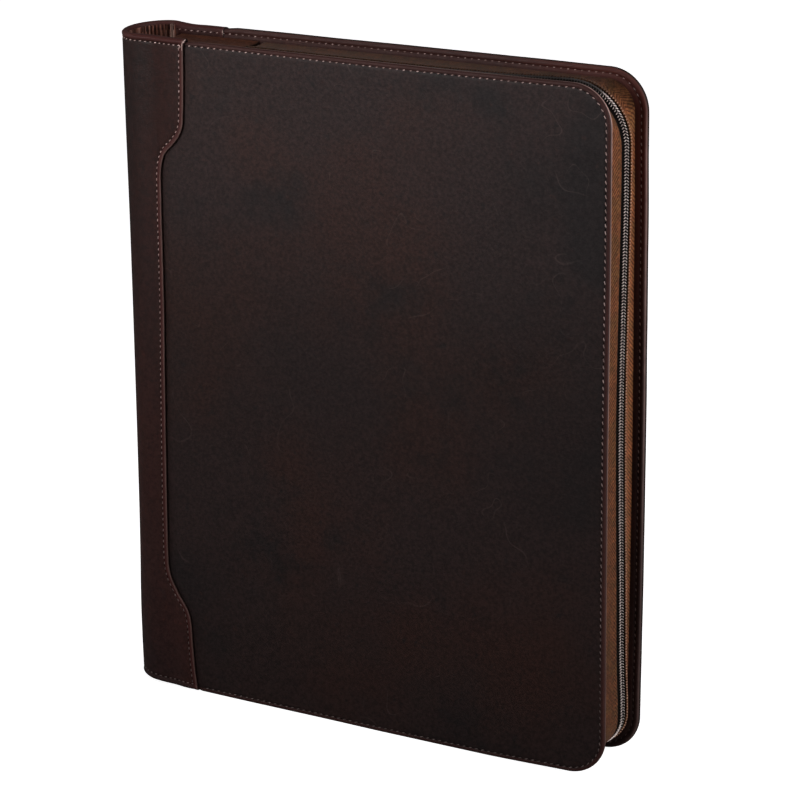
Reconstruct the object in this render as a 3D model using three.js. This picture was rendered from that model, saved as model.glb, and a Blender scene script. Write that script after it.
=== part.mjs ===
// A zip-round leather document case, closed and standing upright, in millimetres with +Z up.
// +X points to the zip side, -X to the spine, -Y to the front cover and +Y to the back cover.
// The origin is the bottom centre of the whole case.

import * as THREE from 'three';

// The whole case
const caseHeight = 343;
const caseWidth = 280;
const caseDepth = 38.2;
const clearance = 0.3;

// Covers: stiff panels with turned, rounded edges
const coverThickness = 3;
const cornerRadius = 22;
const outerEdgeRound = 1.1;
const innerEdgeRound = 0.6;

// Hinge line: a shallow valley in each cover, just behind the spine
const hingeDip = 1;
const hingeDipWidth = 20;

// Spine: the rounded part, the outer strip and the pleated lining
const spineRoundLength = 17.5;
const spineBow = 1.8;
const stripThickness = 1.2;
const stripReach = 46;
const stripEdgeRound = 0.7;
const liningThickness = 1.3;
const pleatDepth = 0.7;
const pleatsPerSide = 7;

// Zip: two tapes and a chain, recessed from the covers' edges
const zipInset = 5.4;
const zipStartReach = 71;
const tapeThickness = 1;
const chainWidth = 5.2;
const chainThickness = 2;
const chainStandOut = 0.7;
const chainTopRadius = 29;
const chainBottomRadius = 16.5;

// Leather ends of the gusset, between the spine and the zip
const gussetStartReach = 19.5;
const gussetThickness = 1.6;

// Slider and pull in the recess of the bottom edge
const sliderLength = 34;
const sliderWidth = 8;
const sliderHeight = 3.6;
const sliderReach = 76;

// Equal steps that a curved stretch is cut into
const cornerSteps = 8;
const outerEdgeSteps = 3;
const innerEdgeSteps = 2;
const hingeSteps = 6;
const spineSteps = 8;
const stripSteps = 5;
const stripRowSteps = 2;
const zipCornerSteps = 7;
const zipTopSteps = 10;
const zipSideSteps = 12;
const zipBottomSteps = 7;
const gussetSteps = 8;

// How far the strip's edge reaches from the spine, as shares of the height and of stripReach
const stripEdge = [
  { share: 0, reach: 0.945 },
  { share: 0.04, reach: 0.913 },
  { share: 0.08, reach: 0.893 },
  { share: 0.114, reach: 0.88 },
  { share: 0.133, reach: 0.833 },
  { share: 0.155, reach: 0.72 },
  { share: 0.18, reach: 0.622 },
  { share: 0.213, reach: 0.598 },
  { share: 0.48, reach: 0.628 },
  { share: 0.6, reach: 0.65 },
  { share: 0.79, reach: 0.661 },
  { share: 0.812, reach: 0.678 },
  { share: 0.831, reach: 0.73 },
  { share: 0.845, reach: 0.835 },
  { share: 0.86, reach: 0.92 },
  { share: 0.88, reach: 0.967 },
  { share: 1, reach: 1 },
];

// How far the spine stands out, as shares of the height and of spineBow
const spineShape = [
  { share: 0, bow: 0.6 },
  { share: 0.05, bow: 0.88 },
  { share: 0.1, bow: 1 },
  { share: 0.15, bow: 0.86 },
  { share: 0.2, bow: 0.52 },
  { share: 0.28, bow: 0.22 },
  { share: 0.48, bow: 0 },
  { share: 0.7, bow: 0 },
  { share: 0.86, bow: 0.35 },
  { share: 1, bow: 0.55 },
];

// Where the chain runs between the covers: share is the way along the zip from its top end,
// drift is the share of half the space between the covers, positive towards the back
const chainDrift = [
  { share: 0, drift: -0.15 },
  { share: 0.12, drift: -0.16 },
  { share: 0.19, drift: -0.02 },
  { share: 0.242, drift: 0.38 },
  { share: 0.274, drift: 0.45 },
  { share: 0.306, drift: 0.48 },
  { share: 0.351, drift: 0.41 },
  { share: 0.462, drift: 0.26 },
  { share: 0.511, drift: 0.26 },
  { share: 0.618, drift: 0.41 },
  { share: 0.662, drift: 0.47 },
  { share: 0.696, drift: 0.58 },
  { share: 0.74, drift: 0.52 },
  { share: 0.84, drift: 0.2 },
  { share: 1, drift: 0 },
];

// Slider and pull from end to end: shares of its length, width and height, height from the chain
const sliderForm = [
  { along: 0, width: 0.7, near: 0, far: 0.6 },
  { along: 0.05, width: 1, near: 0, far: 0.72 },
  { along: 0.27, width: 0.8, near: 0, far: 0.72 },
  { along: 0.32, width: 0.4, near: 0, far: 0.72 },
  { along: 0.36, width: 0.4, near: 0.25, far: 0.72 },
  { along: 0.42, width: 0.55, near: 0.5, far: 0.86 },
  { along: 0.92, width: 0.7, near: 0.64, far: 1 },
  { along: 1, width: 0.45, near: 0.64, far: 1 },
];

// Lines that several pieces share
const zipSide = caseWidth / 2;
const spineSide = -caseWidth / 2;
const coverStart = spineSide + spineRoundLength;
const halfDepth = caseDepth / 2;
const zipStart = spineSide + zipStartReach;

// Value of a table column at a share, on a smooth curve through its rows
function readTable(table, column, share) {
  let row = 0;
  while (row < table.length - 2 && share > table[row + 1].share) {
    row += 1;
  }
  const slopeAt = (index) => {
    const before = table[Math.max(index - 1, 0)];
    const after = table[Math.min(index + 1, table.length - 1)];
    return (after[column] - before[column]) / (after.share - before.share);
  };
  const start = table[row];
  const end = table[row + 1];
  const span = end.share - start.share;
  const t = (share - start.share) / span;
  const ease = t * t * (3 - 2 * t);
  const leave = t * (1 - t) * (1 - t) * span * slopeAt(row);
  const arrive = t * t * (1 - t) * span * slopeAt(row + 1);
  return THREE.MathUtils.lerp(start[column], end[column], ease) + leave - arrive;
}

// The shares of a table's rows, with equal steps added between each two
function rowShares(table, steps) {
  const shares = [table[0].share];
  for (let row = 1; row < table.length; row += 1) {
    for (let step = 1; step <= steps; step += 1) {
      shares.push(THREE.MathUtils.lerp(table[row - 1].share, table[row].share, step / steps));
    }
  }
  return shares;
}

// Equal steps from one value to another, both ends included
function stepsBetween(from, to, steps) {
  return Array.from({ length: steps + 1 }, (_, step) => THREE.MathUtils.lerp(from, to, step / steps));
}

// A closed solid through a row of sections. Each section is a loop of an even number of points,
// whose first half faces its second half, so that the two ends close like a ladder.
function loft(sections) {
  const count = sections[0].length;
  const points = sections.flat();
  const index = [];
  const quad = (a, b, c, d) => index.push(a, b, c, a, c, d);
  for (let start = 0; start + count < points.length; start += count) {
    for (let p = 0; p < count; p += 1) {
      const next = (p + 1) % count;
      quad(start + p, start + next, start + count + next, start + count + p);
    }
  }
  const last = points.length - count;
  for (let p = 0; p + 1 < count / 2; p += 1) {
    quad(p, count - 1 - p, count - 2 - p, p + 1);
    quad(last + p, last + p + 1, last + count - 2 - p, last + count - 1 - p);
  }
  let volume = 0;
  for (let i = 0; i < index.length; i += 3) {
    const [a, b, c] = [points[index[i]], points[index[i + 1]], points[index[i + 2]]];
    volume += a.dot(new THREE.Vector3().crossVectors(b, c));
  }
  if (volume < 0) {
    index.reverse();
  }
  const geometry = new THREE.BufferGeometry().setFromPoints(points);
  geometry.setIndex(index);
  geometry.computeVertexNormals();
  return geometry;
}

// Depth of the hinge valley at a place along the cover
function hingeValley(x) {
  const middle = coverStart + hingeDipWidth / 2;
  const away = Math.min(Math.abs(x - middle) / (hingeDipWidth / 2), 1);
  return (hingeDip * (1 + Math.cos(Math.PI * away))) / 2;
}

// Distance of a cover's outer face from the middle of the case
function coverFace(x) {
  return halfDepth - hingeValley(x);
}

// Distance of a cover's inner face from the middle of the case
function coverInside(x) {
  return coverFace(x) - coverThickness;
}

// Outline of a cover, drawn in by an inset and set back from the outer face by a depth
function coverLoop(side, inset, depth) {
  const hingeEnd = coverStart + hingeDipWidth;
  const cornerX = zipSide - cornerRadius;
  const cornerZ = caseHeight - cornerRadius;
  const straight = [...stepsBetween(coverStart + inset, hingeEnd, hingeSteps), cornerX];
  const top = straight.map((x) => ({ x, z: caseHeight - inset }));
  for (const angle of stepsBetween(0, Math.PI / 2, cornerSteps).slice(1)) {
    top.push({
      x: cornerX + (cornerRadius - inset) * Math.sin(angle),
      z: cornerZ + (cornerRadius - inset) * Math.cos(angle),
    });
  }
  const bottom = top.map(({ x, z }) => ({ x, z: caseHeight - z })).reverse();
  return [...top, ...bottom].map(({ x, z }) => new THREE.Vector3(x, side * (coverFace(x) - depth), z));
}

// A cover: its outline swept round the outer and the inner edge
function coverGeometry(side) {
  const loops = [];
  for (const angle of stepsBetween(0, Math.PI / 2, outerEdgeSteps)) {
    const inset = outerEdgeRound * (1 - Math.sin(angle));
    loops.push(coverLoop(side, inset, outerEdgeRound * (1 - Math.cos(angle))));
  }
  for (const angle of stepsBetween(Math.PI / 2, 0, innerEdgeSteps)) {
    const inset = innerEdgeRound * (1 - Math.sin(angle));
    loops.push(coverLoop(side, inset, coverThickness - innerEdgeRound * (1 - Math.cos(angle))));
  }
  return loft(loops);
}

// The spine's outermost line at a share of the height
function spineLine(share) {
  return spineSide + spineBow * (1 - readTable(spineShape, 'bow', share));
}

// A section at one height from a half profile of outer and inner points, which runs from the back
// to the spine's outermost line and is mirrored to the front
function spineSection(half, z) {
  const mirrored = half.slice(0, -1).reverse();
  const outer = [...half.map(([x, y]) => [x, y]), ...mirrored.map(([x, y]) => [x, -y])];
  const inner = [
    ...half.map(([, , x, y]) => [x, y]),
    ...mirrored.map(([, , x, y]) => [x, -y]),
  ];
  return [...outer, ...inner.reverse()].map(([x, y]) => new THREE.Vector3(x, y, z));
}

// The strip: flat on the covers from its shaped edge, then round the spine
function stripSection(share) {
  const edge = spineSide + stripReach * readTable(stripEdge, 'reach', share);
  const seat = (x) => coverFace(x) + clearance;
  const half = [];
  for (const angle of stepsBetween(Math.PI / 2, 0, innerEdgeSteps)) {
    const x = edge - stripEdgeRound * (1 - Math.sin(angle));
    const drop = stripEdgeRound * (1 - Math.cos(angle));
    half.push([x, seat(x) + stripThickness - drop, x, seat(x)]);
  }
  for (const x of stepsBetween(edge - stripEdgeRound, coverStart, stripSteps).slice(1)) {
    half.push([x, seat(x) + stripThickness, x, seat(x)]);
  }
  const length = coverStart - spineLine(share);
  const height = halfDepth + clearance + stripThickness;
  for (const angle of stepsBetween(Math.PI / 2, 0, spineSteps).slice(1)) {
    const [across, along] = [Math.sin(angle), Math.cos(angle)];
    half.push([
      coverStart - length * along,
      height * across,
      coverStart - (length - stripThickness) * along,
      (height - stripThickness) * across,
    ]);
  }
  return spineSection(half, share * caseHeight);
}

// The lining: inside the strip, from cover edge to cover edge, with pleats on its inner face
function liningSection(share) {
  const start = coverStart - clearance;
  const length = start - spineLine(share) - stripThickness - clearance;
  const half = [];
  for (const turn of stepsBetween(1, 0, 2 * pleatsPerSide)) {
    const angle = (turn * Math.PI) / 2;
    const pleat = (pleatDepth * (1 - Math.cos(turn * pleatsPerSide * 2 * Math.PI))) / 2;
    const wall = liningThickness + pleat;
    half.push([
      start - length * Math.cos(angle),
      halfDepth * Math.sin(angle),
      start - (length - wall) * Math.cos(angle),
      (halfDepth - wall) * Math.sin(angle),
    ]);
  }
  return spineSection(half, share * caseHeight);
}

// The way round the three open sides at the zip's inset: place and outward direction
function zipRoute(topRadius, bottomRadius) {
  const right = zipSide - zipInset;
  const top = caseHeight - zipInset;
  const bottom = zipInset;
  const route = [];
  for (const x of stepsBetween(zipStart, right - topRadius, zipTopSteps)) {
    route.push({ x, z: top, outX: 0, outZ: 1 });
  }
  for (const angle of stepsBetween(0, Math.PI / 2, zipCornerSteps).slice(1)) {
    const [outX, outZ] = [Math.sin(angle), Math.cos(angle)];
    const x = right - topRadius + topRadius * outX;
    route.push({ x, z: top - topRadius + topRadius * outZ, outX, outZ });
  }
  for (const z of stepsBetween(top - topRadius, bottom + bottomRadius, zipSideSteps).slice(1)) {
    route.push({ x: right, z, outX: 1, outZ: 0 });
  }
  for (const angle of stepsBetween(Math.PI / 2, 0, zipCornerSteps).slice(1)) {
    const [outX, outZ] = [Math.sin(angle), -Math.cos(angle)];
    const x = right - bottomRadius + bottomRadius * outX;
    route.push({ x, z: bottom + bottomRadius + bottomRadius * outZ, outX, outZ });
  }
  for (const x of stepsBetween(right - bottomRadius, zipStart, zipBottomSteps).slice(1)) {
    route.push({ x, z: bottom, outX: 0, outZ: -1 });
  }
  return route;
}

// Where the tapes meet the covers, and where the chain runs, station by station
const tapeRoute = zipRoute(cornerRadius - zipInset, cornerRadius - zipInset);
const chainRoute = zipRoute(chainTopRadius, chainBottomRadius);

// The length of the way to each station from the first
function wayAlong(route) {
  const way = [0];
  for (let i = 1; i < route.length; i += 1) {
    const [from, to] = [route[i - 1], route[i]];
    way.push(way[i - 1] + Math.hypot(to.x - from.x, to.z - from.z));
  }
  return way;
}
const chainWay = wayAlong(chainRoute);
const chainLength = chainWay[chainWay.length - 1];

// The chain's middle between the covers, at a place and a way along it
function chainMiddle(x, way) {
  return coverInside(x) * readTable(chainDrift, 'drift', way / chainLength);
}
const chainPlace = chainRoute.map(({ x }, i) => chainMiddle(x, chainWay[i]));

// A point off the route, moved outwards from it, at a place between the covers
function offRoute(station, outwards, y) {
  return new THREE.Vector3(station.x + station.outX * outwards, y, station.z + station.outZ * outwards);
}

// A tape: from a cover's inner face to the chain
function tapeGeometry(side) {
  const sections = tapeRoute.map((atCover, i) => {
    const atChain = chainRoute[i];
    const coverY = side * (coverInside(atCover.x) - clearance);
    const chainY = chainPlace[i] + side * (chainWidth / 2 + clearance);
    return [
      offRoute(atCover, 0, coverY),
      offRoute(atChain, 0, chainY),
      offRoute(atChain, -tapeThickness, chainY),
      offRoute(atCover, -tapeThickness, coverY),
    ];
  });
  return loft(sections);
}

// The closed chain: a low crowned band, thickest along its middle
function chainGeometry() {
  const half = chainWidth / 2;
  const back = chainStandOut - chainThickness;
  const sections = chainRoute.map((station, i) => {
    const y = chainPlace[i];
    return [
      offRoute(station, 0, y - half),
      offRoute(station, chainStandOut, y - half / 2),
      offRoute(station, chainStandOut, y + half / 2),
      offRoute(station, 0, y + half),
      offRoute(station, back, y + half),
      offRoute(station, back, y + half / 2),
      offRoute(station, back, y - half / 2),
      offRoute(station, back, y - half),
    ];
  });
  return loft(sections);
}

// A leather end of the gusset, between the covers' inner faces, with its outer face at a height
function gussetEndGeometry(outerZ, innerZ) {
  const [from, to] = [spineSide + gussetStartReach, zipStart - clearance];
  const sections = stepsBetween(from, to, gussetSteps).map((x) => {
    const half = coverInside(x) - clearance;
    return [
      new THREE.Vector3(x, -half, outerZ),
      new THREE.Vector3(x, half, outerZ),
      new THREE.Vector3(x, half, innerZ),
      new THREE.Vector3(x, -half, innerZ),
    ];
  });
  return loft(sections);
}

// Slider and pull: lies on the chain's outer face, in the recess of the bottom edge
function sliderGeometry() {
  const seat = zipInset - chainStandOut - clearance;
  const sections = sliderForm.map(({ along, width, near, far }) => {
    const x = spineSide + sliderReach + along * sliderLength;
    const middle = chainMiddle(x, chainLength - (x - zipStart));
    const half = (width * sliderWidth) / 2;
    return [
      new THREE.Vector3(x, middle - half, seat - near * sliderHeight),
      new THREE.Vector3(x, middle + half, seat - near * sliderHeight),
      new THREE.Vector3(x, middle + half, seat - far * sliderHeight),
      new THREE.Vector3(x, middle - half, seat - far * sliderHeight),
    ];
  });
  return loft(sections);
}

// Finishes
const leather = { color: 0x2a1d1a, roughness: 0.55, metalness: 0 };
const spineLeather = { color: 0x33211b, roughness: 0.52, metalness: 0 };
const innerLeather = { color: 0x3c231c, roughness: 0.65, metalness: 0 };
const tape = { color: 0x6b4128, roughness: 0.85, metalness: 0 };
const coil = { color: 0x4b4038, roughness: 0.35, metalness: 0.2 };
const metal = { color: 0x5a4a3a, roughness: 0.4, metalness: 0.8 };

const documentCase = new THREE.Group();

// Adds one named piece to the case
function addPiece(name, geometry, finish) {
  const piece = new THREE.Mesh(geometry, new THREE.MeshStandardMaterial(finish));
  piece.name = name;
  documentCase.add(piece);
}

addPiece('front_cover', coverGeometry(-1), leather);
addPiece('back_cover', coverGeometry(1), leather);
addPiece('spine_strip', loft(rowShares(stripEdge, stripRowSteps).map(stripSection)), spineLeather);
addPiece('spine_lining', loft(rowShares(spineShape, 1).map(liningSection)), innerLeather);

const gussetTop = caseHeight - zipInset;
addPiece('gusset_end_top', gussetEndGeometry(gussetTop, gussetTop - gussetThickness), innerLeather);
addPiece('gusset_end_bottom', gussetEndGeometry(zipInset, zipInset + gussetThickness), innerLeather);

addPiece('zip_tape_front', tapeGeometry(-1), tape);
addPiece('zip_tape_back', tapeGeometry(1), tape);
addPiece('zip_chain', chainGeometry(), coil);
addPiece('zip_slider', sliderGeometry(), metal);

export default documentCase;
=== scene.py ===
"""Dresses a zip-round leather document case: turned leather covers, a wrapped and stitched spine,
a pleated lining, twill zip tapes, a coil chain, its slider and the waxed thread."""

import logging
import math
from collections.abc import Callable, Sequence
from dataclasses import dataclass, field
from enum import Enum

import bmesh
import bpy
import numpy as np
from mathutils import Matrix, Vector


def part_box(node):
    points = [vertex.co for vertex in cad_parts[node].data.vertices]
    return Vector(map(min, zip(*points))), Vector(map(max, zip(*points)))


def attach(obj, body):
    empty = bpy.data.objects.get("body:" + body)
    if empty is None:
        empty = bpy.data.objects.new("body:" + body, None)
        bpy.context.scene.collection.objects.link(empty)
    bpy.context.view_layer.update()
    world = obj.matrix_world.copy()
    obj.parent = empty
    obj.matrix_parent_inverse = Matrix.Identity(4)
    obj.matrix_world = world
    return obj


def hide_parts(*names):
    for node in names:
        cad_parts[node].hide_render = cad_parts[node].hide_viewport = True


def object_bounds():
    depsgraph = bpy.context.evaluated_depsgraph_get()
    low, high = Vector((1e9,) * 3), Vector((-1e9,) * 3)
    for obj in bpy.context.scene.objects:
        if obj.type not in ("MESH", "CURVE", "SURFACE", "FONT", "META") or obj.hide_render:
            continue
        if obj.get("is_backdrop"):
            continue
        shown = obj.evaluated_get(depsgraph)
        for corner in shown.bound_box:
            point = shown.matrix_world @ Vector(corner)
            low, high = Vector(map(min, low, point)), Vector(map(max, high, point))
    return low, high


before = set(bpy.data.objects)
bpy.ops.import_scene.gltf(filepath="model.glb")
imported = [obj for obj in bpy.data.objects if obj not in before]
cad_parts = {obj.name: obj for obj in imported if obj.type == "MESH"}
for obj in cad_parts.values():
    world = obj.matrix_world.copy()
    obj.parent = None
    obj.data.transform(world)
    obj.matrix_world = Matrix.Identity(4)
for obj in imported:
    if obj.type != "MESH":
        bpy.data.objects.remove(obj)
CAD_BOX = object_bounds()

MM = 0.001
LOG = logging.getLogger("document_case")
Triple = tuple[float, float, float]
Colour = Triple
Place = Callable[[float, float], Vector]
Table = tuple[tuple[float, float], ...]


class Side(Enum):
    """The two faces of the case, by the direction of their outside along Y."""

    FRONT = -1
    BACK = 1

    @property
    def label(self) -> str:
        """The side's plain name."""
        return self.name.lower()


class Slot(Enum):
    """The record's material slots."""

    COVER = "cover_leather"
    SPINE = "spine_leather"
    INNER = "inner_leather"
    TAPE = "zip_tape"
    TEETH = "zip_teeth"
    THREAD = "stitch_thread"
    METAL = "zip_metal"


# How far the strip's edge reaches from the spine, as shares of the height and of its reach
STRIP_EDGE: Table = (
    (0, 0.957), (0.04, 0.927), (0.08, 0.907), (0.114, 0.892), (0.133, 0.842), (0.155, 0.722),
    (0.18, 0.622), (0.213, 0.598), (0.48, 0.628), (0.6, 0.65), (0.79, 0.661), (0.812, 0.678),
    (0.831, 0.733), (0.845, 0.842), (0.86, 0.932), (0.88, 0.982), (1, 1.015),
)
# How far the spine stands out, as shares of the height and of its bow
SPINE_BOW: Table = (
    (0, 0.6), (0.05, 0.88), (0.1, 1), (0.15, 0.86), (0.2, 0.52), (0.28, 0.22), (0.48, 0), (0.7, 0),
    (0.86, 0.35), (1, 0.55),
)
# How far the covers bow outwards beside the zip, as shares of the height and of the bow
FRONT_BOW: Table = (
    (0, 0.5), (0.1, 0.8), (0.22, 1), (0.5, 0.95), (0.66, 0.6), (0.8, 0.25), (0.93, 0.3), (1, 0.3),
)
BACK_BOW: Table = (
    (0, 0), (0.1, 0.12), (0.16, 0.42), (0.22, 0.58), (0.3, 0.77), (0.44, 1), (0.59, 0.96), (0.7, 0.8),
    (0.81, 0.78), (0.89, 0.5), (1, 0.3),
)
# Where the chain runs between the covers: share of the way along the zip, share towards the back
CHAIN_DRIFT: Table = (
    (0, -0.15), (0.12, -0.16), (0.19, -0.02), (0.242, 0.34), (0.274, 0.37), (0.306, 0.42),
    (0.351, 0.41), (0.462, 0.26), (0.511, 0.26), (0.618, 0.41), (0.662, 0.47), (0.696, 0.58),
    (0.74, 0.52), (0.84, 0.2), (1, 0),
)

# Steps of every route round the open sides: along the top, round a corner and down the side
ALONG_TOP, TURN, DOWN_SIDE = 92, 14, 146
# Stations where the rows of stitches change their pitch, in the middle of each corner, and the last one
TOP_END = ALONG_TOP + TURN // 2
SIDE_END = TOP_END + TURN + DOWN_SIDE
ROUTE_END = 2 * (ALONG_TOP + TURN) + DOWN_SIDE


def read_table(table: Table, share: float) -> float:
    """Value of a table at a share, on a smooth curve through its rows.

    Args:
        table: Rows of a share and a value.
        share: Where to read, from the first row's share to the last one's.

    Returns:
        The value there.
    """
    row = 0
    while row < len(table) - 2 and share > table[row + 1][0]:
        row += 1

    def slope(index: int) -> float:
        """Slope of the curve at a row."""
        before, after = table[max(index - 1, 0)], table[min(index + 1, len(table) - 1)]
        return (after[1] - before[1]) / (after[0] - before[0])

    (start, low), (end, high) = table[row], table[row + 1]
    span = end - start
    t = (share - start) / span
    ease = t * t * (3 - 2 * t)
    leave = t * (1 - t) ** 2 * span * slope(row)
    arrive = t * t * (1 - t) * span * slope(row + 1)
    return low + (high - low) * ease + leave - arrive


def ramp(value: float, start: float, end: float) -> float:
    """Rises softly from 0 at the start to 1 at the end, and stays level beyond them."""
    t = min(max((value - start) / (end - start), 0.0), 1.0)
    return t * t * (3 - 2 * t)


def bell(distance: float, width: float) -> float:
    """A soft bump that is 1 at distance 0 and 0 from a width on."""
    away = min(abs(distance) / width, 1.0)
    return 0.5 * (1 + math.cos(math.pi * away))


def steps(start: float, end: float, count: int) -> list[float]:
    """Equal steps from one value to another, both ends included."""
    return [start + (end - start) * index / count for index in range(count + 1)]


@dataclass(frozen=True)
class CaseLines:
    """Sizes and lines that several pieces share, in metres, read from the frame where it has them.

    The covers bow outwards beside the zip and are crowned in the middle. The front cover is a little
    shorter than the back one at the zip side and at the top, and its lower corner lifts.
    """

    height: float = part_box("front_cover")[1].z
    zip_side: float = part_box("front_cover")[1].x
    cover_start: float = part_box("front_cover")[0].x
    half_depth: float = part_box("back_cover")[1].y
    spine_side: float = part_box("spine_strip")[0].x
    strip_half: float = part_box("spine_strip")[1].y
    strip_reach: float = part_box("spine_strip")[1].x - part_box("spine_strip")[0].x
    zip_start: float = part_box("zip_chain")[0].x - 2.6 * MM
    gusset_start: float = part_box("gusset_end_top")[0].x
    gusset_top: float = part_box("gusset_end_top")[1].z
    cover_thickness: float = 3.0 * MM
    corner_radius: float = 20.0 * MM
    front_bow: float = 1.4 * MM
    back_bow: float = 2.5 * MM
    bow_start: float = -40 * MM
    front_crown: float = 2.0 * MM
    back_crown: float = 1.0 * MM
    crown_foot: float = 100 * MM
    short_side: float = 0.6 * MM
    short_side_start: float = 90 * MM
    short_top: float = 0.7 * MM
    short_top_start: float = 300 * MM
    corner_lift: float = 0.9 * MM
    corner_lift_start: float = 70 * MM
    corner_lift_end: float = 128 * MM
    corner_lift_height: float = 40 * MM
    hinge_dip: float = 1.0 * MM
    hinge_dip_width: float = 20.0 * MM
    spine_bow: float = 1.8 * MM
    spine_trim: float = 1.3 * MM
    zip_inset: float = 5.4 * MM
    chain_top_radius: float = 29.0 * MM
    chain_bottom_radius: float = 16.5 * MM

    def at_height(self, table: Table, z: float) -> float:
        """Value of a table of shares of the height, at a height."""
        return read_table(table, min(max(z / self.height, 0.0), 1.0))

    def hinge_valley(self, x: float) -> float:
        """Depth of the hinge valley at a place along a cover."""
        half = self.hinge_dip_width / 2
        return self.hinge_dip * bell(x - self.cover_start - half, half)

    def cover_face(self, x: float) -> float:
        """Distance of a cover's outer face from the middle of the case."""
        return self.half_depth - self.hinge_valley(x)

    def cover_inside(self, x: float) -> float:
        """Distance of a cover's inner face from the middle of the case."""
        return self.cover_face(x) - self.cover_thickness

    def strip_edge(self, z: float) -> float:
        """Where the strip's shaped edge lies at a height."""
        return self.spine_side + self.strip_reach * self.at_height(STRIP_EDGE, z)

    def spine_line(self, z: float) -> float:
        """The spine's outermost line at a height."""
        return self.spine_side + self.spine_trim + self.spine_bow * (1 - self.at_height(SPINE_BOW, z))

    def swell(self, side: Side, x: float, z: float) -> float:
        """How far a cover stands out from flat: crowned in the middle and bowed beside the zip."""
        front = side is Side.FRONT
        bow, crown = (self.front_bow, self.front_crown) if front else (self.back_bow, self.back_crown)
        share = self.at_height(FRONT_BOW if front else BACK_BOW, z)
        reach = self.spine_side + self.strip_reach
        middle = min(max((x - reach) / (self.zip_side - reach), 0.0), 1.0)
        arch = math.sin(math.pi * middle) * (0.5 + 0.5 * ramp(z, 0, self.crown_foot))
        return bow * share * ramp(x, self.bow_start, self.zip_side) + crown * arch

    def formed(self, side: Side, x: float, distance: float, z: float) -> Vector:
        """A point of a cover in its true shape.

        Args:
            side: The cover's side.
            x: Place along the flat cover.
            distance: Distance from the middle of the case on the flat cover.
            z: Height on the flat cover.

        Returns:
            The point on the real cover.
        """
        away = distance - self.hinge_valley(x) + self.swell(side, x, z)
        if side is Side.FRONT:
            x -= self.short_side * ramp(x, self.short_side_start, self.zip_side)
            z -= self.short_top * ramp(z, self.short_top_start, self.height)
            near = ramp(x, self.corner_lift_start, self.corner_lift_end)
            z += self.corner_lift * near * bell(z, self.corner_lift_height)
        return Vector((x, side.value * away, z))

    def outline_distance(self, x: float, z: float) -> float:
        """Distance inwards from a cover's outline, with its two rounded corners."""
        radius = self.corner_radius
        right, low = self.zip_side - x, min(z, self.height - z)
        if right < radius and low < radius:
            return radius - math.hypot(radius - right, radius - low)
        return min(right, low)


CASE = CaseLines()


@dataclass(frozen=True)
class Station:
    """A point on a route round the case: its place and the direction that faces outwards."""

    x: float
    z: float
    out_x: float
    out_z: float


def zip_route(top_radius: float, bottom_radius: float, inset: float, start: float) -> list[Station]:
    """The way round the three open sides, from the spine along the top, the side and the foot.

    Args:
        top_radius: Radius of the turn at the top corner.
        bottom_radius: Radius of the turn at the bottom corner.
        inset: Distance from the covers' outline.
        start: Place along the case where the way begins and ends.

    Returns:
        Stations about 2 mm apart, as many of them on each stretch whatever the radii are.
    """
    right, top, bottom = CASE.zip_side - inset, CASE.height - inset, inset
    route = []
    for x in steps(start, right - top_radius, ALONG_TOP):
        route.append(Station(x, top, 0, 1))
    for angle in steps(0, math.pi / 2, TURN)[1:]:
        out = (math.sin(angle), math.cos(angle))
        route.append(Station(right - top_radius * (1 - out[0]), top - top_radius * (1 - out[1]), *out))
    for z in steps(top - top_radius, bottom + bottom_radius, DOWN_SIDE)[1:]:
        route.append(Station(right, z, 1, 0))
    for angle in steps(math.pi / 2, 0, TURN)[1:]:
        out = (math.sin(angle), -math.cos(angle))
        z = bottom + bottom_radius * (1 + out[1])
        route.append(Station(right - bottom_radius * (1 - out[0]), z, *out))
    for x in steps(right - bottom_radius, start, ALONG_TOP)[1:]:
        route.append(Station(x, bottom, 0, -1))
    return route


def way_along(route: Sequence[Station]) -> list[float]:
    """The length of the way to each station from the first."""
    way = [0.0]
    for before, after in zip(route, route[1:]):
        way.append(way[-1] + math.hypot(after.x - before.x, after.z - before.z))
    return way


TAPE_CORNER = CASE.corner_radius - CASE.zip_inset
TAPE_ROUTE = zip_route(TAPE_CORNER, TAPE_CORNER, CASE.zip_inset, CASE.zip_start)
CHAIN_ROUTE = zip_route(CASE.chain_top_radius, CASE.chain_bottom_radius, CASE.zip_inset, CASE.zip_start)
CHAIN_WAY = way_along(CHAIN_ROUTE)


def chain_middle(x: float, way: float) -> float:
    """The chain's middle between the covers, at a place and a way along it."""
    return CASE.cover_inside(x) * read_table(CHAIN_DRIFT, way / CHAIN_WAY[-1])


def on_chain(way: float, out: float = 0.0, across: float = 0.0) -> Vector:
    """A point on the chain's route.

    Args:
        way: Length along the route.
        out: Distance outwards from it.
        across: Distance from the chain's middle towards the back.

    Returns:
        The point.
    """
    columns = np.array([(s.x, s.z, s.out_x, s.out_z) for s in CHAIN_ROUTE]).T
    x, z, out_x, out_z = (float(np.interp(way, CHAIN_WAY, column)) for column in columns)
    return Vector((x + out_x * out, chain_middle(x, way) + across, z + out_z * out))


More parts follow.
